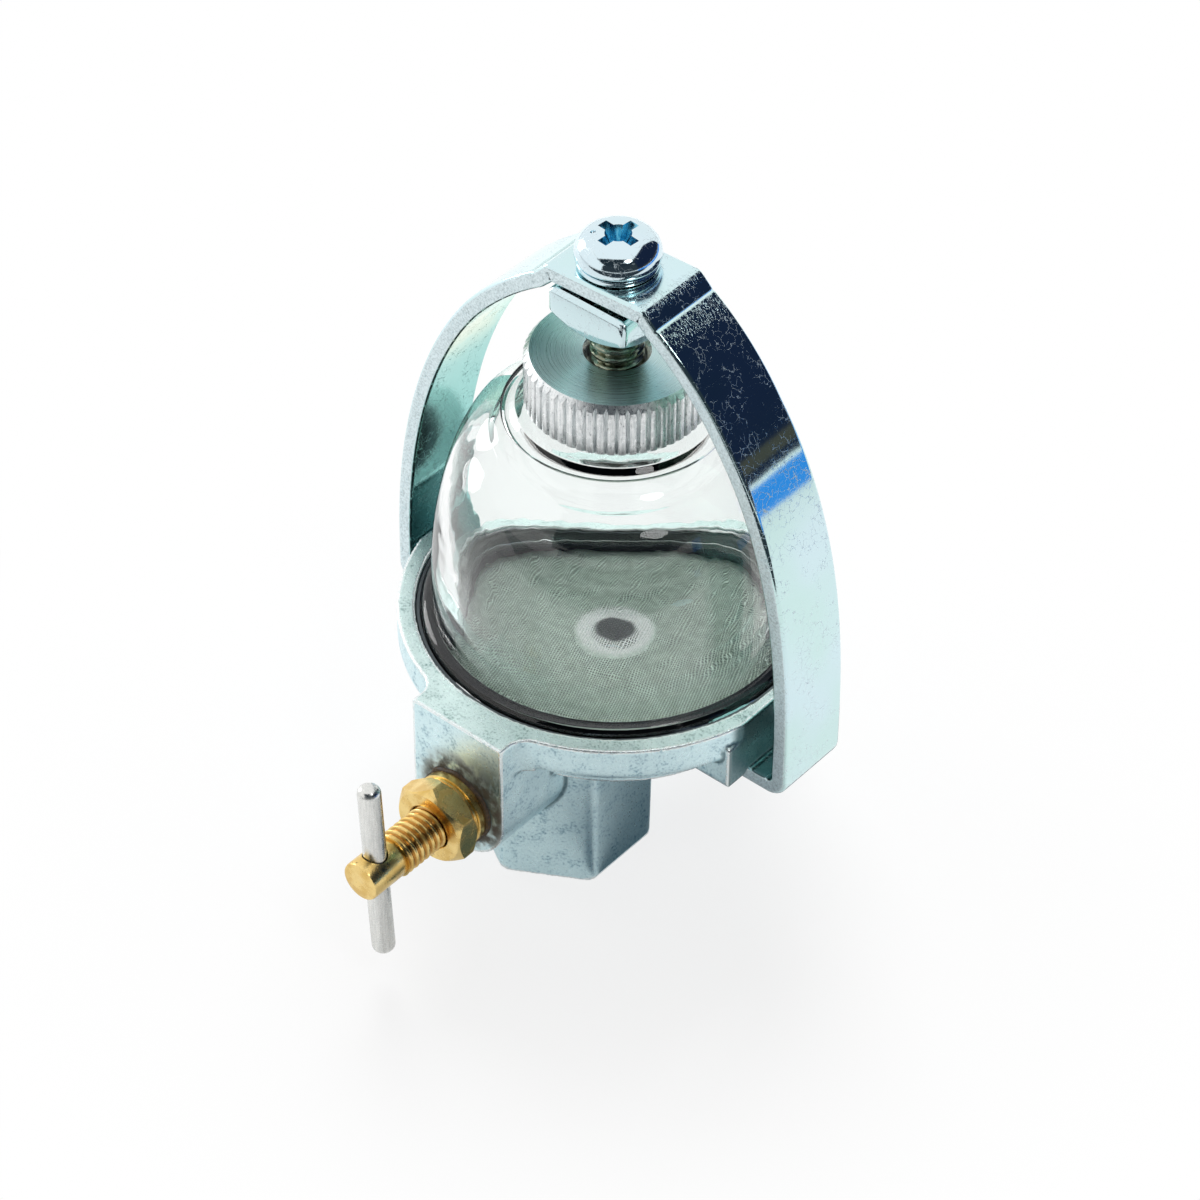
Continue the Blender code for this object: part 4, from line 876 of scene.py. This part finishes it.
def strap_line():
    """Outer and inner points of the bail's side view, from the left hook over the crown to the right one."""
    crown_end = 6.998
    step_end = Vector((8.862, 48.045))
    foot_x = 30.0
    lip_bottom = -10.25
    bend, straight = 2.7, 4.0
    leg_end = (foot_x, lip_bottom + bend + straight)
    chord = hypot(leg_end[0] - step_end.x, leg_end[1] - step_end.y)
    slope = radians(33)
    lead_in, lead_out = 0.29 * chord, 0.46 * chord
    controls = [
        tuple(step_end),
        (step_end.x + lead_in * cos(slope), step_end.y - lead_in * sin(slope)),
        (leg_end[0], leg_end[1] + lead_out),
        leg_end,
    ]
    drop = atan2(STRAP_TOP - step_end.y, step_end.x - crown_end)
    corner = 1.3
    corner_start = crown_end - corner * tan(drop / 2)
    half = [(2.0, STRAP_TOP), (4.0, STRAP_TOP)]
    half += arc(corner_start, STRAP_TOP - corner, corner, pi / 2, pi / 2 - drop, 10)
    # A die mark runs along the fold: a steep side, then a flat one back up to the leg.
    steep, flat = radians(70), radians(15)
    mark_start, mark_depth = 0.10, 0.24
    brink = step_end - mark_start * Vector((cos(drop), -sin(drop)))
    groove = brink + mark_depth * Vector((cos(steep), -sin(steep)))
    leg_normal = Vector((sin(slope), cos(slope)))
    depth = (step_end - groove).dot(leg_normal)
    far_side = groove + depth / sin(slope - flat) * Vector((cos(flat), -sin(flat)))
    marks = {len(half) + 1: tuple(groove)}
    half += [tuple(brink), tuple(groove + depth * leg_normal), tuple(far_side)]
    steps = 80
    leg = [bezier(controls, step / steps) for step in range(steps + 1)]
    half += [point for point in leg if point[0] > far_side.x + 0.1]
    half += arc(foot_x - bend, lip_bottom + bend, bend, 0, -pi / 2, 14)
    half += [(x, lip_bottom) for x in (25.5, 23.5, FLAT_X - 2.9)]
    skin = [marks.get(index, point) for index, point in enumerate(half)]

    def settle(line):
        """Both halves of a line: the real bail leans to the right, and its crown stands a little askew."""
        lean, lift, tilt = 0.7, 0.30, 0.045
        points = []
        for x, z in [(-x, z) for x, z in reversed(line)] + line:
            rise = (lift + tilt * x) * clamped((z - 38) / 10)
            points.append(Vector((x + lean * eased((z + 5) / 45), z + rise)))
        return points

    base = settle(half)
    inner = []
    for index, here in enumerate(base):
        into = here - base[max(index - 1, 0)]
        out = base[min(index + 1, len(base) - 1)] - here
        into = (into if index else out).normalized()
        out = (out if index < len(base) - 1 else into).normalized()
        middle = (into + out).normalized()
        reach = STRAP_THICKNESS / middle.dot(into)
        inner.append(here + Vector((middle.y, -middle.x)) * reach)
    return settle(skin), inner


def strap():
    """The bail: crown, two crisp bends, legs that curve over the bowl, and hooks under the rim."""
    outer, inner = strap_line()
    edge, back, ease = 0.5, 0.3, 0.06
    side = STRAP_HALF_WIDTH
    half = [(0, 0), (side - edge - ease, 0)]
    half += [(x, -z) for x, z in arc(side - edge, -edge, edge, pi / 2, 0, 6)]
    half += [(side, edge + ease), (side, STRAP_THICKNESS - back - ease)]
    half += [(x, -z) for x, z in arc(side - back, back - STRAP_THICKNESS, back, 0, -pi / 2, 4)]
    half += [(side - back - ease, STRAP_THICKNESS), (0, STRAP_THICKNESS)]
    section = half + [(-y, depth) for y, depth in reversed(half[1:-1])]
    verts = []
    for top, under in zip(outer, inner):
        for y, depth in section:
            spot = top.lerp(under, depth / STRAP_THICKNESS)
            verts.append((spot.x, y, spot.y))
    made = raw_object("bail", (verts, tube_faces(len(section), len(outer))))
    hole_top, hole_bottom = 52, 45
    return carved(made, raw_object("hole", lathe(rod((SCREW_HOLE, hole_top, hole_bottom)), 64)))


def thread(depth, pitch, start, end, run_out, crest):
    """A shape for lathe() that cuts a screw thread between two heights."""
    root = 0.92

    def cut(radius, height, angle):
        turn = height / pitch - angle / (2 * pi)
        wave = 1 - abs(2 * (turn - floor(turn)) - 1)
        wave = eased((wave - crest) / (root - crest))
        fade = min((height - start) / run_out, (end - height) / run_out, 1)
        return radius - depth * wave * max(fade, 0), height

    return cut


def screw():
    """Round-headed screw with a cross recess in its head and a cut thread on its shank."""
    top, brim, head_radius, dome_start = 3.0, 0.45, 4.95, 2.2
    under, brim_round = -0.3, 0.6
    shoulder = top - 0.02
    profile = [(0, top), (1.0, top), (1.7, shoulder)]
    profile += arc(dome_start, brim, head_radius - dome_start, pi / 2 * 15 / 16, 0, 15, shoulder - brim)
    lower = [(head_radius, brim, 0), (head_radius, under, brim_round), (SCREW_RADIUS, under, 0)]
    profile += rounded(lower, 6)[1:]
    tip = SCREW_TIP - HEAD_BOTTOM
    shank, run_out = -0.6, 0.6
    length = shank - tip - run_out
    rings = int(length / (SCREW_PITCH / 12))
    profile += [(SCREW_RADIUS, shank - ring * length / rings) for ring in range(rings + 1)]
    profile += [(2.5, tip), (0, tip)]
    cut = thread(0.62, SCREW_PITCH, tip + run_out, shank, run_out, 0.2)
    lift = Matrix.Translation((0, 0, HEAD_BOTTOM))
    made = raw_object("cross_screw", lathe(profile, 72, cut), lift)

    recess = lift @ Matrix.Rotation(radians(-5), 4, "Z")
    verts = []
    for long, wide, height in ((1.55, 0.42, 1.0), (2.62, 0.66, top + 0.05), (2.9, 0.75, 4.0)):
        verts += [(x, y, height) for x, y in rectangle(-long, long, -wide, wide)]
    wing = (verts, tube_faces(4, 3))
    tools = [raw_object("wing", wing, recess @ Matrix.Rotation(turn, 4, "Z")) for turn in (0, pi / 2)]
    cone = [(0, 4.0), (1.95, 4.0), (1.55, top), (0.7, 0.9), (0, 0.6)]
    tools.append(raw_object("cone", lathe(cone, 32), recess))
    pit = arc(0, 0, 0.32, pi / 2, -pi / 2, 8)
    pit = [(abs(round(radius, 6)), height) for radius, height in pit]
    tools.append(raw_object("pit", lathe(pit, 16), Matrix.Translation((-2.3, -1.6, 54.33))))
    carved(made, *tools)
    for face in made.data.polygons:
        reach, height = hypot(face.center.x, face.center.y), face.center.z - HEAD_BOTTOM
        if 0.5 < height < top - 0.06 and reach < 2.6:
            face.material_index = 1
        elif height < -0.5:
            face.material_index = 2
    return made


def lock_washer():
    """Split ring whose ends stand a little apart in height."""
    outside, half, corner = 4.7, 0.3, 0.1
    corners = rectangle(SCREW_HOLE, outside, -half, half)
    section = rounded([(radius, height, corner) for radius, height in corners], 3)
    middle = 50.72
    spring = 0.12
    steps = 88
    gap = radians(9)
    start = radians(100)
    verts = []
    for step in range(steps + 1):
        share = step / steps
        angle = start + gap / 2 + (2 * pi - gap) * share
        lift = middle + spring * (share - 0.5)
        verts += [(radius * cos(angle), radius * sin(angle), lift + height) for radius, height in section]
    return raw_object("split_washer", (verts, tube_faces(len(section), steps + 1)))


def square_nut():
    """Square nut with its lower corners turned off by a cone."""
    edge, corner, cone_slope = 0.18, 0.6, 0.62
    cone_start = SQUARE_HALF * 0.98

    def square(radius, height, angle):
        if radius < SQUARE_HALF - 1.5:
            return radius, height
        reach = polygon_radius(angle, 4, SQUARE_HALF, corner, pi / 4) * radius / SQUARE_HALF
        if height < SQUARE_BOTTOM + 0.5:
            return reach, height + max(reach - cone_start, 0) * cone_slope
        return reach, height

    # How far the points lie inside the flats, and below the top or above the bottom
    upper = ((1, 0), (0.55, 0), (0.2, 0.25), (0, 0.55))
    lower = ((0, edge), (0.3 * edge, 0.3 * edge), (edge, 0), (0.6, 0), (1.2, 0))
    profile = [(SCREW_HOLE, SQUARE_TOP)]
    profile += [(SQUARE_HALF - inside, SQUARE_TOP - below) for inside, below in upper]
    profile += [(SQUARE_HALF - inside, SQUARE_BOTTOM + above) for inside, above in lower]
    profile += [(SCREW_HOLE + 0.4, SQUARE_BOTTOM), (SCREW_HOLE, SQUARE_BOTTOM + 0.4)]
    return raw_object("chamfered_square_nut", lathe(profile, 160, square))


def thumb_nut():
    """Knurled nut: straight teeth that run out on its chamfers, and a turned face."""
    per_tooth = 16
    groove_share = 0.38
    groove_depth = 0.40
    chamfer = 0.66
    chamfer_drop = 0.85
    lower_drop = 0.35
    crown = 0.035

    def knurl(radius, height, angle):
        off = abs(angle / (2 * pi) * NUT_TEETH % 1 - 0.5) * 2
        groove = max(1 - off / groove_share, 0)
        land = max((off - groove_share) / (1 - groove_share), 0)
        return min(radius, NUT_RADIUS - groove_depth * groove - crown * (1 - land) ** 2), height

    top = NUT_BOTTOM + NUT_HEIGHT
    face = NUT_RADIUS - chamfer
    recess = 8.8
    recess_top = NUT_BOTTOM + 0.9
    steps = 8
    profile = [(SCREW_HOLE, top - 0.5), (SCREW_HOLE + 0.5, top)]
    profile += [(radius, top) for radius in (5.5, 7.5, 9.0, face - 0.05)]
    for step in range(steps + 1):
        profile.append((face + chamfer * step / steps, top - chamfer_drop * step / steps))
    profile += [(NUT_RADIUS, NUT_BOTTOM + share * NUT_HEIGHT) for share in (0.7, 0.5, 0.3)]
    for step in range(steps + 1):
        profile.append((NUT_RADIUS - chamfer * step / steps, NUT_BOTTOM + lower_drop * (1 - step / steps)))
    profile += [(recess, NUT_BOTTOM), (recess, recess_top), (SCREW_HOLE, recess_top)]
    made = raw_object("knurled_nut", lathe(profile, NUT_TEETH * per_tooth, knurl))
    for polygon_face in made.data.polygons:
        center = polygon_face.center
        if center.z > top - 0.02 and hypot(center.x, center.y) < face:
            polygon_face.material_index = 1
    return made


def bonnet():
    """Brass hexagon chamfered at both ends, with a round collar and a shank in the block."""
    bore, mouth = 3.05, 2.88
    inradius, face_radius = 4.75, 4.6
    neck, collar, shank = 4.42, 4.69, 4.0
    slope = 1.02

    def hexagon(radius, height, angle):
        if radius != inradius:
            return radius, height
        reach = polygon_radius(angle, 6, inradius, 0.10, pi / 6)
        drop = (reach - face_radius) * slope
        return reach, height - drop if height == BONNET_FACE else height + drop

    front = [(bore, -0.5), (mouth, -0.4), (mouth, -0.12), (mouth + 0.12, 0)]
    front += [(radius, 0) for radius in (shank, face_radius, inradius)]
    waist = [(inradius, 0), (face_radius, 0), (neck, -0.05), (neck, -0.35), (collar, -0.5)]
    foot = [(collar, 0.1), (face_radius, 0), (shank, 0)]
    profile = raised(BONNET_FACE, front) + raised(BONNET_HEX_START, waist) + raised(BONNET_START, foot)
    profile += [(shank, BONNET_END), (bore, BONNET_END)]
    return raw_object("hex_bonnet", lathe(profile, 180, hexagon), VALVE)


def sealant_ring():
    """Uneven bead of sealant squeezed out round the bonnet's collar."""
    inside, lump_start = 4.72, 4.9
    lumps, widen, swelling = 2.2, 0.34, 0.08

    def lumpy(radius, height, angle):
        swell = noise.noise(Vector((lumps * cos(angle), lumps * sin(angle), 0.7)))
        if radius > lump_start:
            return radius + widen * swell, height + swelling * swell
        return radius, height

    bead = raised(BLOCK_REACH, [(inside, 0.40), (4.92, 0.34), (5.0, 0.18), (5.05, 0.02), (inside, 0.02)])
    return raw_object("sealant_bead", lathe(bead, 96, lumpy), VALVE)


def stem():
    """Valve stem: plain end with a cross hole, cut thread, and a nose that holds the needle."""
    pitch, start = 0.9, 24.5
    plain, crest, groove = 2.5, 2.75, 2.42
    nose, socket, nose_end, socket_end = 1.7, 1.1, 6.35, 8.95
    tip = [(0, -0.05), (0.25, -0.02), (0.35, 0), (2.2, 0), (groove, -0.08), (plain, -0.3)]
    profile = raised(STEM_END, tip) + raised(THREAD_END, [(plain, 0.25), (groove, 0.12), (groove, 0)])
    rings = int((THREAD_END - start) / (pitch / 16))
    for ring in range(rings + 1):
        profile.append((crest, THREAD_END - 0.02 - ring * (THREAD_END - start) / rings))
    profile += [(plain, start - 0.1), (plain, 12.15), (nose, 11.35), (nose, nose_end)]
    profile += [(socket, nose_end), (socket, socket_end), (0, socket_end)]
    cut = thread(0.36, pitch, start, THREAD_END, 0.4, 0.12)
    made = raw_object("threaded_stem", lathe(profile, 72, cut), VALVE)
    hole_radius, hole_half = 1.52, 6
    return carved(made, raw_object("cross_hole", lathe(rod((hole_radius, hole_half, -hole_half)), 48), PIN))


def handle_pin():
    """Cross pin with rounded ends."""
    edge = 0.95
    profile = [(0, PIN_HALF)] + arc(PIN_RADIUS - edge, PIN_HALF - edge, edge, pi / 2, 0, 8)
    profile += [(PIN_RADIUS, height) for height in (6, 2, -2, -6)]
    profile += arc(PIN_RADIUS - edge, edge - PIN_HALF, edge, 0, -pi / 2, 8) + [(0, -PIN_HALF)]
    return raw_object("cross_pin", lathe(profile, 48), PIN)


def gasket():
    """Rubber ring under the bowl's bead, with a lip squeezed up round the bead."""
    gap = 0.06
    inside, lip, outside = 19.3, BEAD_RADIUS + gap, RIM_INNER - gap
    bottom, shelf, lip_top = -3.75, BOWL_BOTTOM - gap, -0.4
    outline = [(inside, shelf, 0.2), (lip, shelf, 0.05), (lip, lip_top, 0.15)]
    outline += [(outside, lip_top, 0.2), (outside, bottom, 0.2), (inside, bottom, 0.2)]
    return raw_object("rubber_gasket", lathe(rounded(outline, 3), 144))


def build_object():
    """All pieces with their finishes, and finishes for the CAD nodes that stay as they are."""
    zinc = zinc_finish()
    brass = brass_finish()
    steel = steel_finish()
    rubber = rubber_finish()
    fibre = fibre_finish()
    alloys = [casting_finish(), faced_finish(), gallery_finish()]
    dress(casting(), alloys, "head", "casting", "body_casting", sharp=180)
    dress(bowl(), glass_finish(), "head", "glass", "glass_bowl", sharp=60)
    dress(gasket(), rubber, "head", "rubber", "bowl_gasket")
    dress(woven_screen(), wire_finish(), "head", "wire_cloth", "strainer_screen", sharp=180)
    dress(strap(), strap_finish(), "head", "plated_steel", "bail_strap", sharp=35)
    dress(screw(), [zinc, recess_finish(), oiled_finish()], "head", "plated_steel", "clamp_screw", sharp=35)
    dress(lock_washer(), zinc, "head", "plated_steel", "lock_washer")
    dress(square_nut(), zinc, "head", "plated_steel", "square_nut", sharp=35)
    dress(thumb_nut(), [knurled_finish(), turned_finish()], "nut", "machined_metal", "thumb_nut", sharp=30)
    dress(bonnet(), brass, "head", "brass", "valve_bonnet", sharp=30)
    dress(sealant_ring(), sealant_finish(), "head", "fibre")
    dress(stem(), brass, "stem", "brass", "valve_stem", sharp=35)
    dress(handle_pin(), steel, "stem", "steel", "handle_pin")
    kept = {
        "screen_rim": tin_finish(),
        "pressure_pad": fibre,
        "valve_seat": brass,
        "valve_needle": steel,
        "stem_packing": rubber,
        "inner_packing_washer": brass,
        "outer_packing_washer": brass,
    }
    for name, finish in kept.items():
        node = frame["nodes"][name]
        node.data.materials.clear()
        node.data.materials.append(finish)


def build_world():
    """White all round: dim for the rays that light the object, full white where it is seen or mirrored."""
    world = bpy.data.worlds.new("studio")
    bpy.context.scene.world = world
    world.use_nodes = True
    made = Nodes(world.node_tree)
    lighting = made.tree.nodes["Background"]
    made.plug(lighting, "Color", WHITE)
    made.plug(lighting, "Strength", 0.38)
    shown = made.add("ShaderNodeBackground", {"Color": WHITE, "Strength": 1.0})
    path = made.add("ShaderNodeLightPath")
    seen = path.outputs["Is Camera Ray"]
    for name in ("Is Glossy Ray", "Is Transmission Ray"):
        seen = made.math("MAXIMUM", seen, path.outputs[name])
    made.show(seen, lighting, shown, "World Output")


def sheet(name, center, across, upward):
    """A flat sheet and its finish, still without a shader. across and upward are its half sides."""
    center, across, upward = Vector(center), Vector(across), Vector(upward)
    corners = [center + x * across + y * upward for x, y in rectangle(-1, 1, -1, 1)]
    mesh = bpy.data.meshes.new(name)
    mesh.from_pydata([tuple(corner) for corner in corners], [], [[0, 1, 2, 3]])
    finish = Finish(name)
    finish.tree.nodes.remove(finish.shader)
    mesh.materials.append(finish.material)
    return linked(name, mesh), finish


def build_floor():
    """White floor. It glows for the camera except near the object, where its shadow lies."""
    half = 2.0
    floor_plane, finish = sheet("floor", (0, 0, 0), (half, 0, 0), (0, half, 0))
    matte = finish.add("ShaderNodeBsdfDiffuse", {"Color": (0.80, 0.80, 0.80)})
    glow = finish.add("ShaderNodeEmission", {"Strength": 1.0})
    far = finish.ramp(finish.vector("DISTANCE", finish.place, FOOT), 0.03, 0.09, 0.80, 1.0)
    path = finish.add("ShaderNodeLightPath").outputs
    mirrored = finish.math("MAXIMUM", path["Is Glossy Ray"], path["Is Transmission Ray"])
    mirrored = finish.times(mirrored, finish.ramp(far, 0.8, 1.0, 0.3, 0.5))
    finish.show(finish.plus(finish.times(far, path["Is Camera Ray"]), mirrored), matte, glow)


def direction(azimuth, elevation):
    """Unit vector from the object; azimuth 0 is the side at -Y and 90 the side at +X."""
    a, e = radians(azimuth), radians(elevation)
    return Vector((sin(a) * cos(e), -cos(a) * cos(e), sin(e)))


def softbox(name, azimuth, elevation, distance, width, height, radiance, mirrored):
    """An area lamp. mirrored tells whether gloss shows the lamp itself or the white studio behind it."""
    data = bpy.data.lights.new(name, "AREA")
    data.shape = "ELLIPSE"
    data.size = width
    data.size_y = height
    data.energy = radiance * pi * width * height * pi / 4
    lamp = linked(name, data)
    away = direction(azimuth, elevation)
    lamp.location = TARGET + away * distance
    lamp.rotation_mode = "QUATERNION"
    lamp.rotation_quaternion = (-away).to_track_quat("-Z", "Y")
    lamp.visible_glossy = mirrored
    lamp.visible_transmission = mirrored


def build_lamps():
    """A broad lamp behind, one at the left and a small one at the right."""
    # Azimuth, elevation, distance, width, height, radiance, and whether gloss shows the lamp
    softbox("key", 220, 45, 0.9, 0.55, 0.55, 12.0, False)
    softbox("left", -85, 14, 0.8, 0.30, 0.45, 4.0, True)
    softbox("spot", 75, 54, 0.5, 0.12, 0.12, 6.0, True)


def flag(name, center, across, upward, color):
    """A card that only shows in reflections, as a studio's flags do; the cards on the floor beside the port
    are painted shade.
    """
    card, finish = sheet(name, center, across, upward)
    glow = finish.add("ShaderNodeEmission", {"Color": color})
    finish.plug(finish.tree.nodes["Material Output"], "Surface", glow.outputs[0])
    card.visible_camera = False
    card.visible_diffuse = False
    card.visible_shadow = False


def build_flags():
    """Dark walls with a brown rail and a blue strip, a dark ceiling and table, and dark cards on the floor as
    painted shade.
    """
    dusk, shade = (0.03, 0.04, 0.05), (0.02, 0.05, 0.07)
    # Azimuth, distance, half width, low edge, high edge and colour
    walls = {
        "dark_wall": (132, 0.450, 0.42, 0.074, 0.80, (0.010, 0.018, 0.044)),
        "brown_rail": (132, 0.445, 0.42, 0.095, 0.125, (0.075, 0.068, 0.055)),
        "blue_strip": (132, 0.445, 0.42, 0.008, 0.064, (0.045, 0.30, 0.86)),
        "dark_corner": (86, 0.80, 0.42, 0.07, 0.65, dusk),
        "dark_front": (40, 0.90, 0.75, 0.07, 0.65, dusk),
    }
    for name, (azimuth, reach, half_width, low, high, color) in walls.items():
        out = direction(azimuth, 0)
        side = UPRIGHT.cross(out) * half_width
        flag(name, FOOT + out * reach + UPRIGHT * (low + high) / 2, side, UPRIGHT * (high - low) / 2, color)
    # Distance in front, height, half depth and colour
    levels = {
        "dark_ceiling": (0.68, 0.62, 0.44, (0.02, 0.03, 0.04)),
        "dark_table": (0.52, 0.001, 0.38, dusk),
    }
    front = direction(40, 0)
    for name, (reach, height, half_depth, color) in levels.items():
        side = UPRIGHT.cross(front) * 0.60
        flag(name, FOOT + front * reach + UPRIGHT * height, side, front * half_depth, color)
    # Place beside the port, half sides and colour. These cards are painted shade: the object's shadow on the
    # floor, seen in reflections.
    cards = {
        "dark_step": ((0.0155, -0.0225, 0.0006), (0.0055, 0, 0), (0, 0.008, 0), (0.05, 0.09, 0.12)),
        "dark_heel": ((0.01475, -0.00175, 0.0005), (0.00525, 0.00625, 0), (0, 0.006, 0), shade),
        "dark_foot": ((0.018, 0.015, 0.0006), (0.009, 0, 0), (0, 0.017, 0), shade),
    }
    for name, (spot, across, upward, color) in cards.items():
        flag(name, FOOT + Vector(spot), across, upward, color)


def build_camera():
    """The photograph's viewpoint, fitted to the rim, the nuts, the strap and the valve."""
    data = bpy.data.cameras.new("camera")
    data.sensor_width = 36
    data.lens = 135
    data.clip_start = 0.01
    data.clip_end = 20
    camera = linked("camera", data)
    azimuth, elevation, roll = 40.122, 42.2205, radians(0.365)
    shift_right, shift_up, distance = -1.754, 0.038, 530.0
    back = direction(azimuth, elevation)
    right = Vector((cos(radians(azimuth)), sin(radians(azimuth)), 0))
    up = back.cross(right)
    place = TO_FRAME @ (right * shift_right + up * shift_up + back * distance)
    across = right * cos(roll) + up * sin(roll)
    upward = up * cos(roll) - right * sin(roll)
    axes = Matrix((across, upward, back)).transposed().to_4x4()
    camera.matrix_world = Matrix.Translation(place) @ axes
    bpy.context.scene.camera = camera


bpy.context.scene.view_settings.view_transform = "Standard"
build_object()
build_world()
build_floor()
build_lamps()
build_flags()
build_camera()
